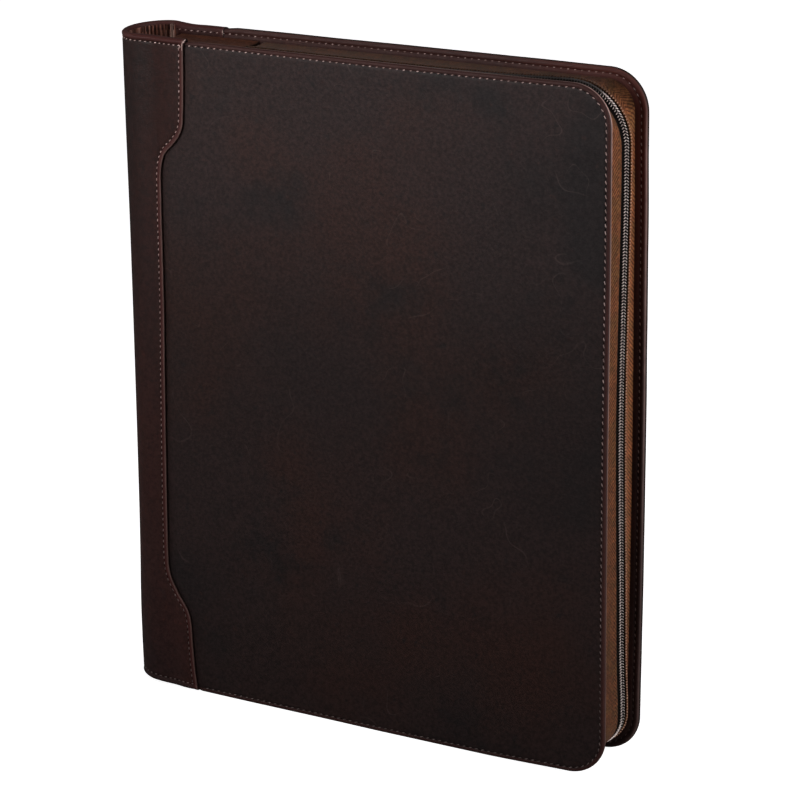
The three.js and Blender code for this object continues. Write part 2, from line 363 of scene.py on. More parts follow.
class NodeBench:
    """A node material put together step by step."""

    def __init__(self, name: str) -> None:
        """Starts an empty material with a Principled shader."""
        self.material = bpy.data.materials.new(name)
        self.material.use_nodes = True
        self.nodes = self.material.node_tree.nodes
        self.links = self.material.node_tree.links
        self.nodes.clear()
        self.shader = self.nodes.new("ShaderNodeBsdfPrincipled")
        output = self.nodes.new("ShaderNodeOutputMaterial")
        self.links.new(self.shader.outputs["BSDF"], output.inputs["Surface"])
        self.coordinates = self.nodes.new("ShaderNodeTexCoord")
        self.place = self.coordinates.outputs["Object"]

    def set(self, **values: float | tuple[float, ...]) -> None:
        """Sets plain values on the shader, with underscores for the spaces in a socket's name."""
        for name, value in values.items():
            self.shader.inputs[name.replace("_", " ")].default_value = value

    def to_shader(self, name: str, source: bpy.types.NodeSocket) -> None:
        """Joins a value to one of the shader's sockets."""
        self.links.new(source, self.shader.inputs[name])

    def _feed(self, socket: bpy.types.NodeSocket, value: object) -> None:
        """Puts a number, a colour or another node's output into a socket."""
        if isinstance(value, bpy.types.NodeSocket):
            self.links.new(value, socket)
        elif isinstance(value, tuple):
            socket.default_value = (*value, 1.0) if len(socket.default_value) == 4 else value
        else:
            socket.default_value = value

    def mapped(self, scale: Triple, turn: Triple = (0, 0, 0)) -> bpy.types.NodeSocket:
        """Stretches and turns the coordinates that a pattern is read at."""
        node = self.nodes.new("ShaderNodeMapping")
        self.links.new(self.place, node.inputs["Vector"])
        node.inputs["Scale"].default_value = scale
        node.inputs["Rotation"].default_value = turn
        return node.outputs["Vector"]

    def noise(self, size: float, detail: float = 3.0, roughness: float = 0.5, seed: float = 0.0,
              source: bpy.types.NodeSocket | None = None) -> bpy.types.NodeSocket:
        """Soft noise with features of about a size.

        Args:
            size: Size of the largest features, in metres.
            detail: How many finer layers it has.
            roughness: How strong the finer layers are.
            seed: Picks another pattern of the same kind.
            source: Coordinates, or the object's own.

        Returns:
            A value from 0 to 1.
        """
        node = self.nodes.new("ShaderNodeTexNoise")
        node.noise_dimensions = "4D"
        node.inputs["W"].default_value = seed
        node.inputs["Scale"].default_value = 1 / size
        node.inputs["Detail"].default_value = detail
        node.inputs["Roughness"].default_value = roughness
        self.links.new(source or self.place, node.inputs["Vector"])
        return node.outputs["Fac"]

    def cells(self, size: float) -> bpy.types.NodeSocket:
        """Distance from the middles of small cells, for leather grain."""
        node = self.nodes.new("ShaderNodeTexVoronoi")
        node.inputs["Scale"].default_value = 1 / size
        self.links.new(self.place, node.inputs["Vector"])
        return node.outputs["Distance"]

    def maths(self, operation: str, first: object, second: object = 0.0) -> bpy.types.NodeSocket:
        """One sum of two values."""
        node = self.nodes.new("ShaderNodeMath")
        node.operation = operation
        self._feed(node.inputs[0], first)
        self._feed(node.inputs[1], second)
        return node.outputs[0]

    def spread(self, value: bpy.types.NodeSocket, low: float, high: float, to_low: float = 0.0,
               to_high: float = 1.0) -> bpy.types.NodeSocket:
        """Maps a range of a value to another range, softly and without going past its ends."""
        node = self.nodes.new("ShaderNodeMapRange")
        node.interpolation_type = "SMOOTHSTEP"
        self.links.new(value, node.inputs["Value"])
        for name, number in zip(("From Min", "From Max", "To Min", "To Max"), (low, high, to_low, to_high)):
            node.inputs[name].default_value = number
        return node.outputs["Result"]

    def mix(self, factor: object, first: object, second: object,
            blend: str = "MIX") -> bpy.types.NodeSocket:
        """Mixes two colours."""
        node = self.nodes.new("ShaderNodeMix")
        node.data_type = "RGBA"
        node.blend_type = blend
        self._feed(node.inputs["Factor"], factor)
        self._feed(node.inputs[6], first)
        self._feed(node.inputs[7], second)
        return node.outputs[2]

    def shaded(self, colour: bpy.types.NodeSocket, shade: bpy.types.NodeSocket) -> bpy.types.NodeSocket:
        """Darkens or lightens a colour by a factor."""
        return self.mix(1.0, colour, shade, "MULTIPLY")

    def part(self, axis: str, source: bpy.types.NodeSocket | None = None) -> bpy.types.NodeSocket:
        """One of the three numbers of the coordinates."""
        node = self.nodes.new("ShaderNodeSeparateXYZ")
        self.links.new(source or self.place, node.inputs["Vector"])
        return node.outputs[axis]

    def attribute(self, name: str) -> bpy.types.NodeSocket:
        """A number that the piece's own mesh carries."""
        node = self.nodes.new("ShaderNodeAttribute")
        node.attribute_name = name
        return node.outputs["Fac"]

    def bump(self, height: bpy.types.NodeSocket, distance: float,
             below: bpy.types.NodeSocket | None = None) -> bpy.types.NodeSocket:
        """A bumped normal, on top of another one if it is given."""
        node = self.nodes.new("ShaderNodeBump")
        node.inputs["Distance"].default_value = distance
        node.inputs["Strength"].default_value = 1.0
        self.links.new(height, node.inputs["Height"])
        if below is not None:
            self.links.new(below, node.inputs["Normal"])
        return node.outputs["Normal"]


@dataclass(frozen=True)
class Leather:
    """Waxed leather: dark and rusty patches, fine specks, hairline scratches, edges that are lighter and
    darker, partly from rubbing and dye and partly painted highlight and shade, and painted light and shade
    over the height.
    """

    name: str
    body: Colour
    dark: Colour
    rust: Colour
    worn_and_lit: Colour
    burnt_and_shaded: Colour
    flushed: Colour
    foot_shade: float
    roughness: float
    seed: float
    stretch: Triple = (1, 1, 1)
    specular: float = 0.17
    waist: float = 0.55
    waist_reach: float = 0.32
    waist_shade: float = 1.0

    def tone(self, bench: NodeBench) -> bpy.types.NodeSocket:
        """The leather's colour with its patches and specks, before any rubbing, with painted light and
        shade over the height from foot_shade at the foot to full at the top, and darker round the waist by
        waist_shade.
        """
        place = bench.mapped(self.stretch)
        patches = bench.noise(95 * MM, 2, 0.5, self.seed, place)
        clouds = bench.noise(38 * MM, 4, 0.62, self.seed + 3, place)
        specks = bench.noise(1.9 * MM, 2, 0.75, self.seed + 5)
        dots = bench.noise(4.2 * MM, 2, 0.6, self.seed + 7)
        colour = bench.mix(bench.spread(patches, 0.44, 0.66), self.body, self.rust)
        colour = bench.mix(bench.spread(clouds, 0.52, 0.74, 0, 0.8), colour, self.dark)
        colour = bench.mix(bench.spread(patches, 0.42, 0.3, 0, 0.7), colour, self.dark)
        colour = bench.mix(bench.spread(dots, 0.62, 0.74, 0, 0.6), colour, self.dark)
        colour = bench.mix(bench.spread(dots, 0.38, 0.26, 0, 0.5), colour, self.rust)
        colour = bench.shaded(colour, bench.spread(specks, 0.3, 0.7, 0.66, 1.36))
        height = bench.part("Z")
        # Painted light and shade: the colour is scaled from foot_shade at the foot to 1 at the top.
        colour = bench.shaded(colour, bench.spread(height, 0.0, CASE.height, self.foot_shade, 1.0))
        # Darker round the waist height, by waist_shade.
        above_waist = bench.maths("SUBTRACT", height, self.waist * CASE.height)
        from_waist, reach = bench.maths("ABSOLUTE", above_waist), self.waist_reach * CASE.height
        return bench.shaded(colour, bench.spread(from_waist, 0.0, reach, self.waist_shade, 1.0))

    def scratches(self, bench: NodeBench) -> bpy.types.NodeSocket:
        """Sparse curved hairlines, where two soft patterns cross their middle value."""
        lines = None
        for step, size in enumerate((34 * MM, 21 * MM)):
            swirl = bench.noise(size, 1, 0.4, self.seed + 20 + step)
            off = bench.maths("ABSOLUTE", bench.maths("SUBTRACT", swirl, 0.5))
            line = bench.spread(off, 0.0055, 0.0005)
            where = bench.spread(bench.noise(30 * MM, 2, 0.5, self.seed + 30 + step), 0.54, 0.7)
            line = bench.maths("MULTIPLY", line, where)
            lines = line if lines is None else bench.maths("MAXIMUM", lines, line)
        return lines

    def material(self) -> bpy.types.Material:
        """Builds the material."""
        bench = NodeBench(self.name)
        colour = self.tone(bench)
        scuffs = bench.noise(9 * MM, 5, 0.75, self.seed + 9, bench.mapped((1, 1, 0.22), (0.3, 0.5, 0.2)))
        colour = bench.mix(bench.spread(scuffs, 0.64, 0.8, 0, 0.11), colour, self.worn_and_lit)
        colour = bench.mix(bench.maths("MULTIPLY", self.scratches(bench), 0.055), colour, self.worn_and_lit)
        # Redder folded leather, with painted light on the covers' inner faces near the upper zip-side
        # corner.
        colour = bench.mix(bench.attribute("flush"), colour, self.flushed)
        # Darker where the mesh marks dyed edges and painted shade.
        colour = bench.mix(bench.attribute("burnish"), colour, self.burnt_and_shaded)
        rub = bench.spread(bench.noise(6 * MM, 3, 0.6, self.seed + 4), 0.3, 0.6, 0.7, 1.0)
        # Lighter where the mesh marks rubbing and painted highlights.
        colour = bench.mix(bench.maths("MULTIPLY", bench.attribute("wear"), rub), colour, self.worn_and_lit)
        bench.to_shader("Base Color", colour)
        specks = bench.noise(2.6 * MM, 3, 0.65, self.seed + 6)
        rough = bench.spread(specks, 0.3, 0.7, self.roughness - 0.07, self.roughness + 0.08)
        bench.to_shader("Roughness", bench.maths("MAXIMUM", rough, bench.attribute("burnish")))
        bench.set(Specular_IOR_Level=self.specular)
        grain = bench.bump(bench.cells(0.9 * MM), 0.05 * MM)
        grain = bench.bump(bench.noise(0.35 * MM, 2), 0.03 * MM, grain)
        grain = bench.bump(bench.noise(7 * MM, 3, 0.5, self.seed + 2), 0.22 * MM, grain)
        bench.to_shader("Normal", grain)
        return bench.material


@dataclass(frozen=True)
class Twill:
    """Woven zip tape: a herringbone of slanted ribs that follows the tape, a fold lightened by rubbing and
    a painted highlight, and painted shade towards the foot and along the top.
    """

    name: str
    # Brightness of this copy of the weave: painted light and shade, darker below 1 and lighter above it.
    shade: float
    rubbed_and_lit: float
    high: Colour = (0.265, 0.088, 0.033)
    low: Colour = (0.066, 0.019, 0.0070)
    olive: Colour = (0.175, 0.082, 0.026)
    # Colour of the fold: rubbing and a painted highlight.
    fold: Colour = (0.26, 0.125, 0.082)
    rib: float = 2.15 * MM
    rib_across: float = 1.7 * MM
    turn_at: float = 2.4 * MM
    foot_shade: float = 0.58
    top_shade: float = 0.42
    top_shade_start: float = 26 * MM
    top_shade_end: float = 9 * MM
    roughness: float = 0.85

    def material(self) -> bpy.types.Material:
        """Builds the material."""
        bench = NodeBench(self.name)
        metric = bench.coordinates.outputs["UV"]
        along = bench.maths("MULTIPLY", bench.part("X", metric), 2 * math.pi / self.rib)
        from_fold = bench.maths("ABSOLUTE", bench.part("Y", metric))
        from_turn = bench.maths("ABSOLUTE", bench.maths("SUBTRACT", from_fold, self.turn_at))
        across = bench.maths("MULTIPLY", from_turn, 2 * math.pi / self.rib_across)
        ribs = bench.maths("SINE", bench.maths("SUBTRACT", along, across))
        yarn = bench.maths("SINE", bench.maths("MULTIPLY", bench.maths("ADD", along, across), 2.0))
        weave = bench.maths("ADD", ribs, bench.maths("MULTIPLY", yarn, 0.3))
        frayed = bench.spread(bench.noise(1.1 * MM, 2, 0.7, 2), 0.3, 0.7, -0.8, 0.8)
        height = bench.spread(bench.maths("ADD", weave, frayed), -1.4, 1.4)
        slubs = bench.noise(3 * MM, 3, 0.6, 4)
        patches = bench.noise(9 * MM, 3, 0.6, 8)
        thread = bench.mix(bench.spread(patches, 0.42, 0.62, 0, 0.75), self.high, self.olive)
        colour = bench.mix(height, self.low, thread)
        colour = bench.shaded(colour, bench.spread(slubs, 0.3, 0.7, 0.72, 1.25))
        # Painted highlight on the fold, partly rubbing.
        rubbed_and_lit = bench.maths("MULTIPLY", bench.attribute("wear"), self.rubbed_and_lit)
        colour = bench.mix(rubbed_and_lit, colour, self.fold)
        # Painted shade: darker towards the foot, and the whole tape scaled by shade.
        foot = bench.spread(bench.part("Z"), 0.0, CASE.height, self.foot_shade * self.shade, self.shade)
        # Painted shade along the top of the case.
        start, end = CASE.height - self.top_shade_start, CASE.height - self.top_shade_end
        top = bench.spread(bench.part("Z"), start, end, 1.0, self.top_shade)
        bench.to_shader("Base Color", bench.shaded(bench.shaded(colour, foot), top))
        bench.to_shader("Normal", bench.bump(height, 0.16 * MM))
        bench.set(Roughness=self.roughness, Specular_IOR_Level=0.12, Sheen_Weight=0.05)
        return bench.material


@dataclass(frozen=True)
class Plain:
    """A small part's finish: one tone that varies a little, with a fine bump, and painted shade towards the
    foot and near the top where its fields ask for it.
    """

    name: str
    tone: Colour
    dark: Colour
    roughness: float
    metallic: float = 0.0
    specular: float = 0.5
    size: float = 1.2 * MM
    bump: float = 0.03 * MM
    foot_shade: float = 1.0
    top_shade: float = 1.0
    top_shade_start: float = 13 * MM
    top_shade_end: float = 8 * MM
    top_roughness: float = 0.95

    def material(self) -> bpy.types.Material:
        """Builds the material."""
        bench = NodeBench(self.name)
        blotches = bench.noise(self.size, 3, 0.6, 2)
        colour = bench.mix(bench.spread(blotches, 0.35, 0.65), self.dark, self.tone)
        # Painted shade: darker towards the foot, by foot_shade.
        colour = bench.shaded(colour, bench.spread(bench.part("Z"), 0.0, CASE.height, self.foot_shade, 1.0))
        bench.set(Roughness=self.roughness, Metallic=self.metallic, Specular_IOR_Level=self.specular)
        # Painted shade near the top of the case, where the finish is also made rougher.
        if self.top_shade < 1:
            start, end = CASE.height - self.top_shade_start, CASE.height - self.top_shade_end
            top = bench.spread(bench.part("Z"), start, end)
            colour = bench.shaded(colour, bench.spread(top, 0.0, 1.0, 1.0, self.top_shade))
            bench.to_shader("Roughness", bench.spread(top, 0.0, 1.0, self.roughness, self.top_roughness))
        bench.to_shader("Base Color", colour)
        bench.to_shader("Normal", bench.bump(bench.noise(self.size / 4, 2), self.bump))
        return bench.material


def made(finish: Leather | Twill | Plain) -> bpy.types.Material:
    """A field that makes a finish's material when the finishes are made."""
    return field(default_factory=finish.material)


@dataclass
class Finishes:
    """Every material of the case, made once."""

    # Painted shade slightly darker towards the foot by foot_shade, and darker round the waist by
    # waist_shade.
    cover: bpy.types.Material = made(Leather(
        "cover leather", body=(0.0225, 0.0120, 0.0112), dark=(0.0105, 0.0082, 0.0085),
        rust=(0.0300, 0.0120, 0.0092), worn_and_lit=(0.46, 0.30, 0.27), burnt_and_shaded=(0.0060, 0.0022, 0.0016),
        flushed=(0.072, 0.0175, 0.0130), foot_shade=0.95, roughness=0.56, seed=1.0, waist_shade=0.74,
    ))
    # foot_shade above 1 paints the foot lighter: painted light.
    spine: bpy.types.Material = made(Leather(
        "spine leather", body=(0.0108, 0.0034, 0.0027), dark=(0.0062, 0.0031, 0.0031),
        rust=(0.0190, 0.0044, 0.0029), worn_and_lit=(0.15, 0.082, 0.072), burnt_and_shaded=(0.0035, 0.0015, 0.0013),
        flushed=(0.058, 0.0125, 0.0108), foot_shade=3.3, roughness=0.56, seed=6.0, stretch=(1, 1, 0.34),
    ))
    # Painted shade darker towards the foot, by foot_shade.
    inner: bpy.types.Material = made(Leather(
        "inner leather", body=(0.085, 0.029, 0.0160), dark=(0.024, 0.0085, 0.0055),
        rust=(0.160, 0.048, 0.022), worn_and_lit=(0.24, 0.13, 0.105), burnt_and_shaded=(0.004, 0.002, 0.0016),
        flushed=(0.05, 0.015, 0.012), foot_shade=0.8, roughness=0.58, seed=11.0,
    ))
    # A lighter copy of the inner leather: painted light on the lining inside the spine, with painted shade
    # towards the foot.
    pleated: bpy.types.Material = made(Leather(
        "pleated leather", body=(0.165, 0.056, 0.036), dark=(0.050, 0.017, 0.012),
        rust=(0.230, 0.072, 0.043), worn_and_lit=(0.55, 0.36, 0.30), burnt_and_shaded=(0.016, 0.006, 0.0045),
        flushed=(0.05, 0.015, 0.012), foot_shade=0.6, roughness=0.58, seed=11.0,
    ))
    # One weave in two copies: the front tape painted darker and the back one lighter, as painted shade and
    # light; only the back tape's fold gets the painted highlight.
    tape_front: bpy.types.Material = made(Twill("front zip tape", shade=0.78, rubbed_and_lit=0.0))
    tape_back: bpy.types.Material = made(Twill("back zip tape", shade=1.2, rubbed_and_lit=0.5))
    # Painted shade towards the foot and near the top of the case.
    sewing: bpy.types.Material = made(Plain(
        "zip sewing thread", tone=(0.50, 0.26, 0.17), dark=(0.25, 0.115, 0.065), roughness=0.6,
        foot_shade=0.7, top_shade=0.2))
    # Painted shade towards the foot and near the top of the case.
    coil: bpy.types.Material = made(Plain(
        "zip coil", tone=(0.84, 0.72, 0.68), dark=(0.52, 0.41, 0.38), roughness=0.26,
        foot_shade=0.75, top_shade=0.07))
    # Near-black, partly painted shadow between the teeth and the tapes.
    core: bpy.types.Material = made(Plain(
        "zip chain core", tone=(0.0035, 0.0020, 0.0014), dark=(0.0015, 0.001, 0.0008), roughness=0.8,
        specular=0.05))
    # Painted shade towards the foot.
    thread: bpy.types.Material = made(Plain(
        "waxed thread", tone=(0.56, 0.40, 0.37), dark=(0.26, 0.165, 0.145), roughness=0.5,
        size=4 * MM, foot_shade=0.28))
    # Near-black as painted shade of each needle hole.
    hole: bpy.types.Material = made(Plain(
        "needle hole", tone=(0.0025, 0.0018, 0.0018), dark=(0.001, 0.0008, 0.0008), roughness=0.9,
        specular=0.02))
    metal: bpy.types.Material = made(Plain(
        "aged brass", tone=(0.30, 0.21, 0.13), dark=(0.14, 0.10, 0.07), roughness=0.36,
        metallic=0.9))


class Workpiece:
    """One mesh under work, with the bench tools that shape and finish it."""

    def __init__(self, name: str) -> None:
        """Takes the object that an add operator has just made, and names it."""
        self.body = bpy.context.active_object
        self.body.name = name
        self.body.data.name = name

    @staticmethod
    def clear() -> None:
        """Leaves edit mode and deselects everything."""
        if bpy.context.object and bpy.context.object.mode != "OBJECT":
            bpy.ops.object.mode_set(mode="OBJECT")
        bpy.ops.object.select_all(action="DESELECT")

    @classmethod
    def plate(cls, name: str, low: Vector, high: Vector, side: Side) -> "Workpiece":
        """Adds an upright plate at its size and place, facing outwards.

        Args:
            name: The piece's name.
            low: Its lowest corner.
            high: Its highest corner.
            side: The side that it faces.

        Returns:
            The plate as a workpiece.
        """
        cls.clear()
        turn = (-side.value * math.pi / 2, 0, 0)
        bpy.ops.mesh.primitive_plane_add(size=1, location=(low + high) / 2, rotation=turn)
        piece = cls(name)
        piece.body.scale = (high.x - low.x, high.z - low.z, 1)
        piece.settle()
        return piece

    @classmethod
    def sheet(cls, name: str, columns: Sequence[float], rows: Sequence[float], place: Place,
              zero: int | None = None) -> "Workpiece":
        """Adds a grid and lays it on a surface.

        Args:
            name: The piece's name.
            columns: The first measure of each column of points.
            rows: The second measure of each row of points.
            place: Gives the point of the surface at two measures.
            zero: The column that the UV map's second measure starts from, or the middle one.

        Returns:
            The sheet, with its true lengths as its UV map.
        """
        cls.clear()
        across, along = len(columns) - 1, len(rows) - 1
        bpy.ops.mesh.primitive_grid_add(x_subdivisions=across, y_subdivisions=along, size=1)
        piece = cls(name)
        mesh = piece.body.data
        grid = np.empty((len(columns), len(rows), 3))
        for i, column in enumerate(columns):
            for j, row in enumerate(rows):
                grid[i, j] = place(column, row)
        width = np.zeros(grid.shape[:2])
        width[1:] = np.cumsum(np.linalg.norm(np.diff(grid, axis=0), axis=2), axis=0)
        length = np.zeros(grid.shape[:2])
        length[:, 1:] = np.cumsum(np.linalg.norm(np.diff(grid, axis=1), axis=2), axis=1)
        spots = [(round((v.co.x + 0.5) * across), round((v.co.y + 0.5) * along)) for v in mesh.vertices]
        middle = len(columns) // 2 if zero is None else zero
        for loop in mesh.loops:
            i, j = spots[loop.vertex_index]
            mesh.uv_layers.active.data[loop.index].uv = (length[middle, j], width[i, j] - width[middle, j])
        for vertex, (i, j) in zip(mesh.vertices, spots):
            vertex.co = grid[i, j]
        return piece

    @classmethod
    def ball(cls, name: str, rings: int, turn: Triple = (0, 0, 0)) -> "Workpiece":
        """Adds a small ball of radius 1 round the origin, to be shaped and copied."""
        cls.clear()
        bpy.ops.mesh.primitive_uv_sphere_add(segments=8, ring_count=rings, radius=1, rotation=turn)
        piece = cls(name)
        piece.settle()
        return piece

    def settle(self) -> None:
        """Puts the object's own place, turn and size into its mesh."""
        bpy.ops.object.transform_apply(location=True, rotation=True, scale=True)

    def edit(self) -> None:
        """Goes into edit mode with everything selected."""
        self.clear()
        bpy.context.view_layer.objects.active = self.body
        self.body.select_set(True)
        bpy.ops.object.mode_set(mode="EDIT")
        bpy.ops.mesh.select_all(action="SELECT")

    def done(self) -> None:
        """Leaves edit mode."""
        bpy.ops.object.mode_set(mode="OBJECT")

    def choose(self, test: Callable[[Vector, Vector], bool], kind: str = "FACE") -> None:
        """Selects the faces or points that pass a test, in edit mode.

        Args:
            test: Takes a middle and a normal.
            kind: FACE or VERT.
        """
        bpy.ops.mesh.select_mode(type=kind)
        bpy.ops.mesh.select_all(action="DESELECT")
        work = bmesh.from_edit_mesh(self.body.data)
        if kind == "FACE":
            for face in work.faces:
                face.select_set(test(face.calc_center_median(), face.normal))
        else:
            for vertex in work.verts:
                vertex.select_set(test(vertex.co, vertex.normal))
        bmesh.update_edit_mesh(self.body.data)

    def cut(self, axis: int, places: Sequence[float]) -> None:
        """Cuts the whole mesh with planes across an axis, in edit mode."""
        normal = [0.0, 0.0, 0.0]
        normal[axis] = 1.0
        for place in places:
            spot = [0.0, 0.0, 0.0]
            spot[axis] = place
            bpy.ops.mesh.select_all(action="SELECT")
            bpy.ops.mesh.bisect(plane_co=spot, plane_no=normal)

    def shape(self, move: Callable[[Vector], Vector]) -> None:
        """Moves every point by a formula."""
        for vertex in self.body.data.vertices:
            vertex.co = move(vertex.co)
        self.body.data.update()

    def mark(self, **measures: Callable[[Vector], float]) -> None:
        """Stores a number from 0 to 1 at each point for each name, such as how much rubbing, painted
        highlight and painted shade the surface gets.
        """
        mesh = self.body.data
        for name, measure in measures.items():
            layer = mesh.attributes.new(name, "FLOAT", "POINT")
            layer.data.foreach_set("value", [measure(vertex.co) for vertex in mesh.vertices])

    def modify(self, kind: str, **settings: object) -> None:
        """Adds a modifier with its settings and applies it."""
        self.clear()
        bpy.context.view_layer.objects.active = self.body
        self.body.select_set(True)
        tool = self.body.modifiers.new(kind.lower(), kind)
        for name, value in settings.items():
            setattr(tool, name, value)
        bpy.ops.object.modifier_apply(modifier=tool.name)

    def solidify(self, thickness: float, offset: float = -1.0) -> None:
        """Gives a sheet its thickness, with the wall on the side away from its normals by default."""
        self.modify("SOLIDIFY", thickness=thickness, offset=offset, use_even_offset=True)

    def round_edges(self, width: float, segments: int = 3, angle: float = 50.0) -> None:
        """Rounds the sharp edges."""
        self.modify("BEVEL", width=width, segments=segments, limit_method="ANGLE",
                    angle_limit=math.radians(angle), use_clamp_overlap=True)

    def ripple(self, size: float, height: float) -> None:
        """Lets the surface swell and sink softly."""
        texture = bpy.data.textures.new(self.body.name, "CLOUDS")
        texture.noise_scale = size
        texture.noise_depth = 1
        self.modify("DISPLACE", texture=texture, strength=height, mid_level=0.5, texture_coords="LOCAL")

    def smooth(self, angle: float = 40.0) -> None:
        """Shades the surface smoothly, but not over sharp edges."""
        self.clear()
        bpy.context.view_layer.objects.active = self.body
        self.body.select_set(True)
        bpy.ops.object.shade_smooth_by_angle(angle=math.radians(angle))

    def face_out(self) -> None:
        """Turns all faces of a closed body outwards."""
        self.edit()
        bpy.ops.mesh.normals_make_consistent(inside=False)
        self.done()

    def dress(self, finish: bpy.types.Material, slot: Slot, *nodes: str) -> bpy.types.Object:
        """Gives the piece its finish and its place in the frame.

        Args:
            finish: The material.
            slot: The record's material slot; not used.
            nodes: The CAD nodes that it stands for.

        Returns:
            The finished object.
        """
        self.clear()
        self.body.data.materials.clear()
        self.body.data.materials.append(finish)
        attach(self.body, "root")
        if nodes:
            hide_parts(*nodes)
        LOG.info("%s: %d faces", self.body.name, len(self.body.data.polygons))
        return self.body


def scattered(name: str, pattern: "Workpiece", spots: Sequence[Matrix]) -> Workpiece:
    """Copies a small pattern piece to many spots and joins the copies, then removes the pattern.

    Args:
        name: The joined piece's name.
        pattern: The piece that is copied, modelled round the origin.
        spots: Where each copy goes.

    Returns:
        The joined piece.
    """
    source = pattern.body.data
    points = np.array([vertex.co for vertex in source.vertices])
    faces = [tuple(polygon.vertices) for polygon in source.polygons]
    places = np.array([np.array(spot) for spot in spots])
    moved = np.einsum("nij,vj->nvi", places[:, :3, :3], points) + places[:, None, :3, 3]
    count = len(points)
    loops = [tuple(index + copy * count for index in face) for copy in range(len(spots)) for face in faces]
    mesh = bpy.data.meshes.new(name)
    mesh.from_pydata(moved.reshape(-1, 3).tolist(), [], loops)
    bpy.data.objects.remove(pattern.body)
    joined = bpy.data.objects.new(name, mesh)
    bpy.context.scene.collection.objects.link(joined)
    Workpiece.clear()
    bpy.context.view_layer.objects.active = joined
    return Workpiece(name)


def along_row(points: Sequence[Vector], normals: Sequence[Vector], pitch: float, start: float = 0.0,
              lean: float = 0.0) -> list[Matrix]:
    """Spots at a pitch along a row, each with X along the row and Z away from the surface.

    Args:
        points: The row's line.
        normals: The surface's direction at each point of the line.
        pitch: Distance from spot to spot, fitted to the row's length.
        start: Share of a pitch before the first spot.
        lean: Angle by which each spot is turned in the surface.

    Returns:
        One matrix for each spot.
    """
    line = np.array(points)
    facing = np.array(normals)
    way = np.concatenate(([0.0], np.cumsum(np.linalg.norm(np.diff(line, axis=0), axis=1))))
    count = max(round(way[-1] / pitch), 1)
    real = way[-1] / count
    spots = []
    for index in range(count):
        at = (index + start) * real

        def read(columns: np.ndarray, where: float) -> Vector:
            """A point or a direction on the line at a way along it."""
            return Vector([float(np.interp(where, way, column)) for column in columns.T])

        middle, ahead, behind = read(line, at), read(line, at + 0.3 * real), read(line, at - 0.3 * real)
        along = (ahead - behind).normalized()
        up = read(facing, at)
        up = (up - along * up.dot(along)).normalized()
        turn = Matrix((along, up.cross(along), up)).transposed() @ Matrix.Rotation(lean, 3, "Z")
        spots.append(Matrix.Translation(middle) @ turn.to_4x4())
    return spots


@dataclass
class StitchRows:
    """The waxed thread: rows of short slanted stitches with a needle hole between each two."""

    finishes: Finishes
    stitch_length: float = 2.1 * MM
    stitch_width: float = 0.52 * MM
    swell: float = 0.14 * MM
    dive: float = 0.3 * MM
    hole_length: float = 0.8 * MM
    hole_width: float = 0.6 * MM
    hole_height: float = 0.05 * MM
    lean: float = math.radians(18)
    stitches: list[Matrix] = field(default_factory=list)
    holes: list[Matrix] = field(default_factory=list)

    def row(self, points: Sequence[Vector], normals: Sequence[Vector], pitch: float, lean: float = 1.0,
            long: float = 1.0) -> None:
        """Adds one row of stitches.

        Args:
            points: The row's line on the leather.
            normals: The leather's direction at each point.
            pitch: Distance from stitch to stitch.
            lean: How far the stitches slant, as a share of the usual angle, and which way by its sign.
            long: How long each stitch is, as a share of the usual length.
        """
        stretch = Matrix.Diagonal((long, 1, 1, 1))
        for spot in along_row(points, normals, pitch, 0.5, self.lean * lean):
            self.stitches.append(spot @ stretch)
        self.holes.extend(along_row(points, normals, pitch, 0.02, self.lean * lean))

    def lone(self, point: Vector, along: Vector, normal: Vector, length: float) -> None:
        """Adds one single stitch, as on a back tack."""
        turn = Matrix((along, normal.cross(along), normal)).transposed().to_4x4()
        stretch = Matrix.Diagonal((length / self.stitch_length, 1.35, 1.3, 1))
        self.stitches.append(Matrix.Translation(point) @ turn @ stretch)

    def thread_pattern(self) -> Workpiece:
        """One stitch round the origin: a short thread whose ends dive into the leather."""
        piece = Workpiece.ball("stitch", 7, (0, math.pi / 2, 0))
        half, thick = self.stitch_length / 2, self.stitch_width / 2
        piece.shape(lambda p: Vector((
            p.x * half, p.y * thick, p.z * thick * 0.8 + self.swell - self.dive * p.x ** 4)))
        return piece

    def hole_pattern(self) -> Workpiece:
        """One needle hole round the origin: a low dark dimple, its darkness painted shade of the hole."""
        piece = Workpiece.ball("hole", 5)
        long, wide = self.hole_length / 2, self.hole_width / 2
        piece.shape(lambda p: Vector((p.x * long, p.y * wide, p.z * self.hole_height)))
        return piece

    def build(self, name: str) -> None:
        """Joins the stitches and holes gathered so far into two pieces, and starts afresh."""
        thread = scattered(f"{name}_stitches", self.thread_pattern(), self.stitches)
        thread.smooth(60)
        thread.dress(self.finishes.thread, Slot.THREAD)
        holes = scattered(f"{name}_needle_holes", self.hole_pattern(), self.holes)
        holes.smooth(60)
        holes.dress(self.finishes.hole, Slot.THREAD)
        self.stitches, self.holes = [], []


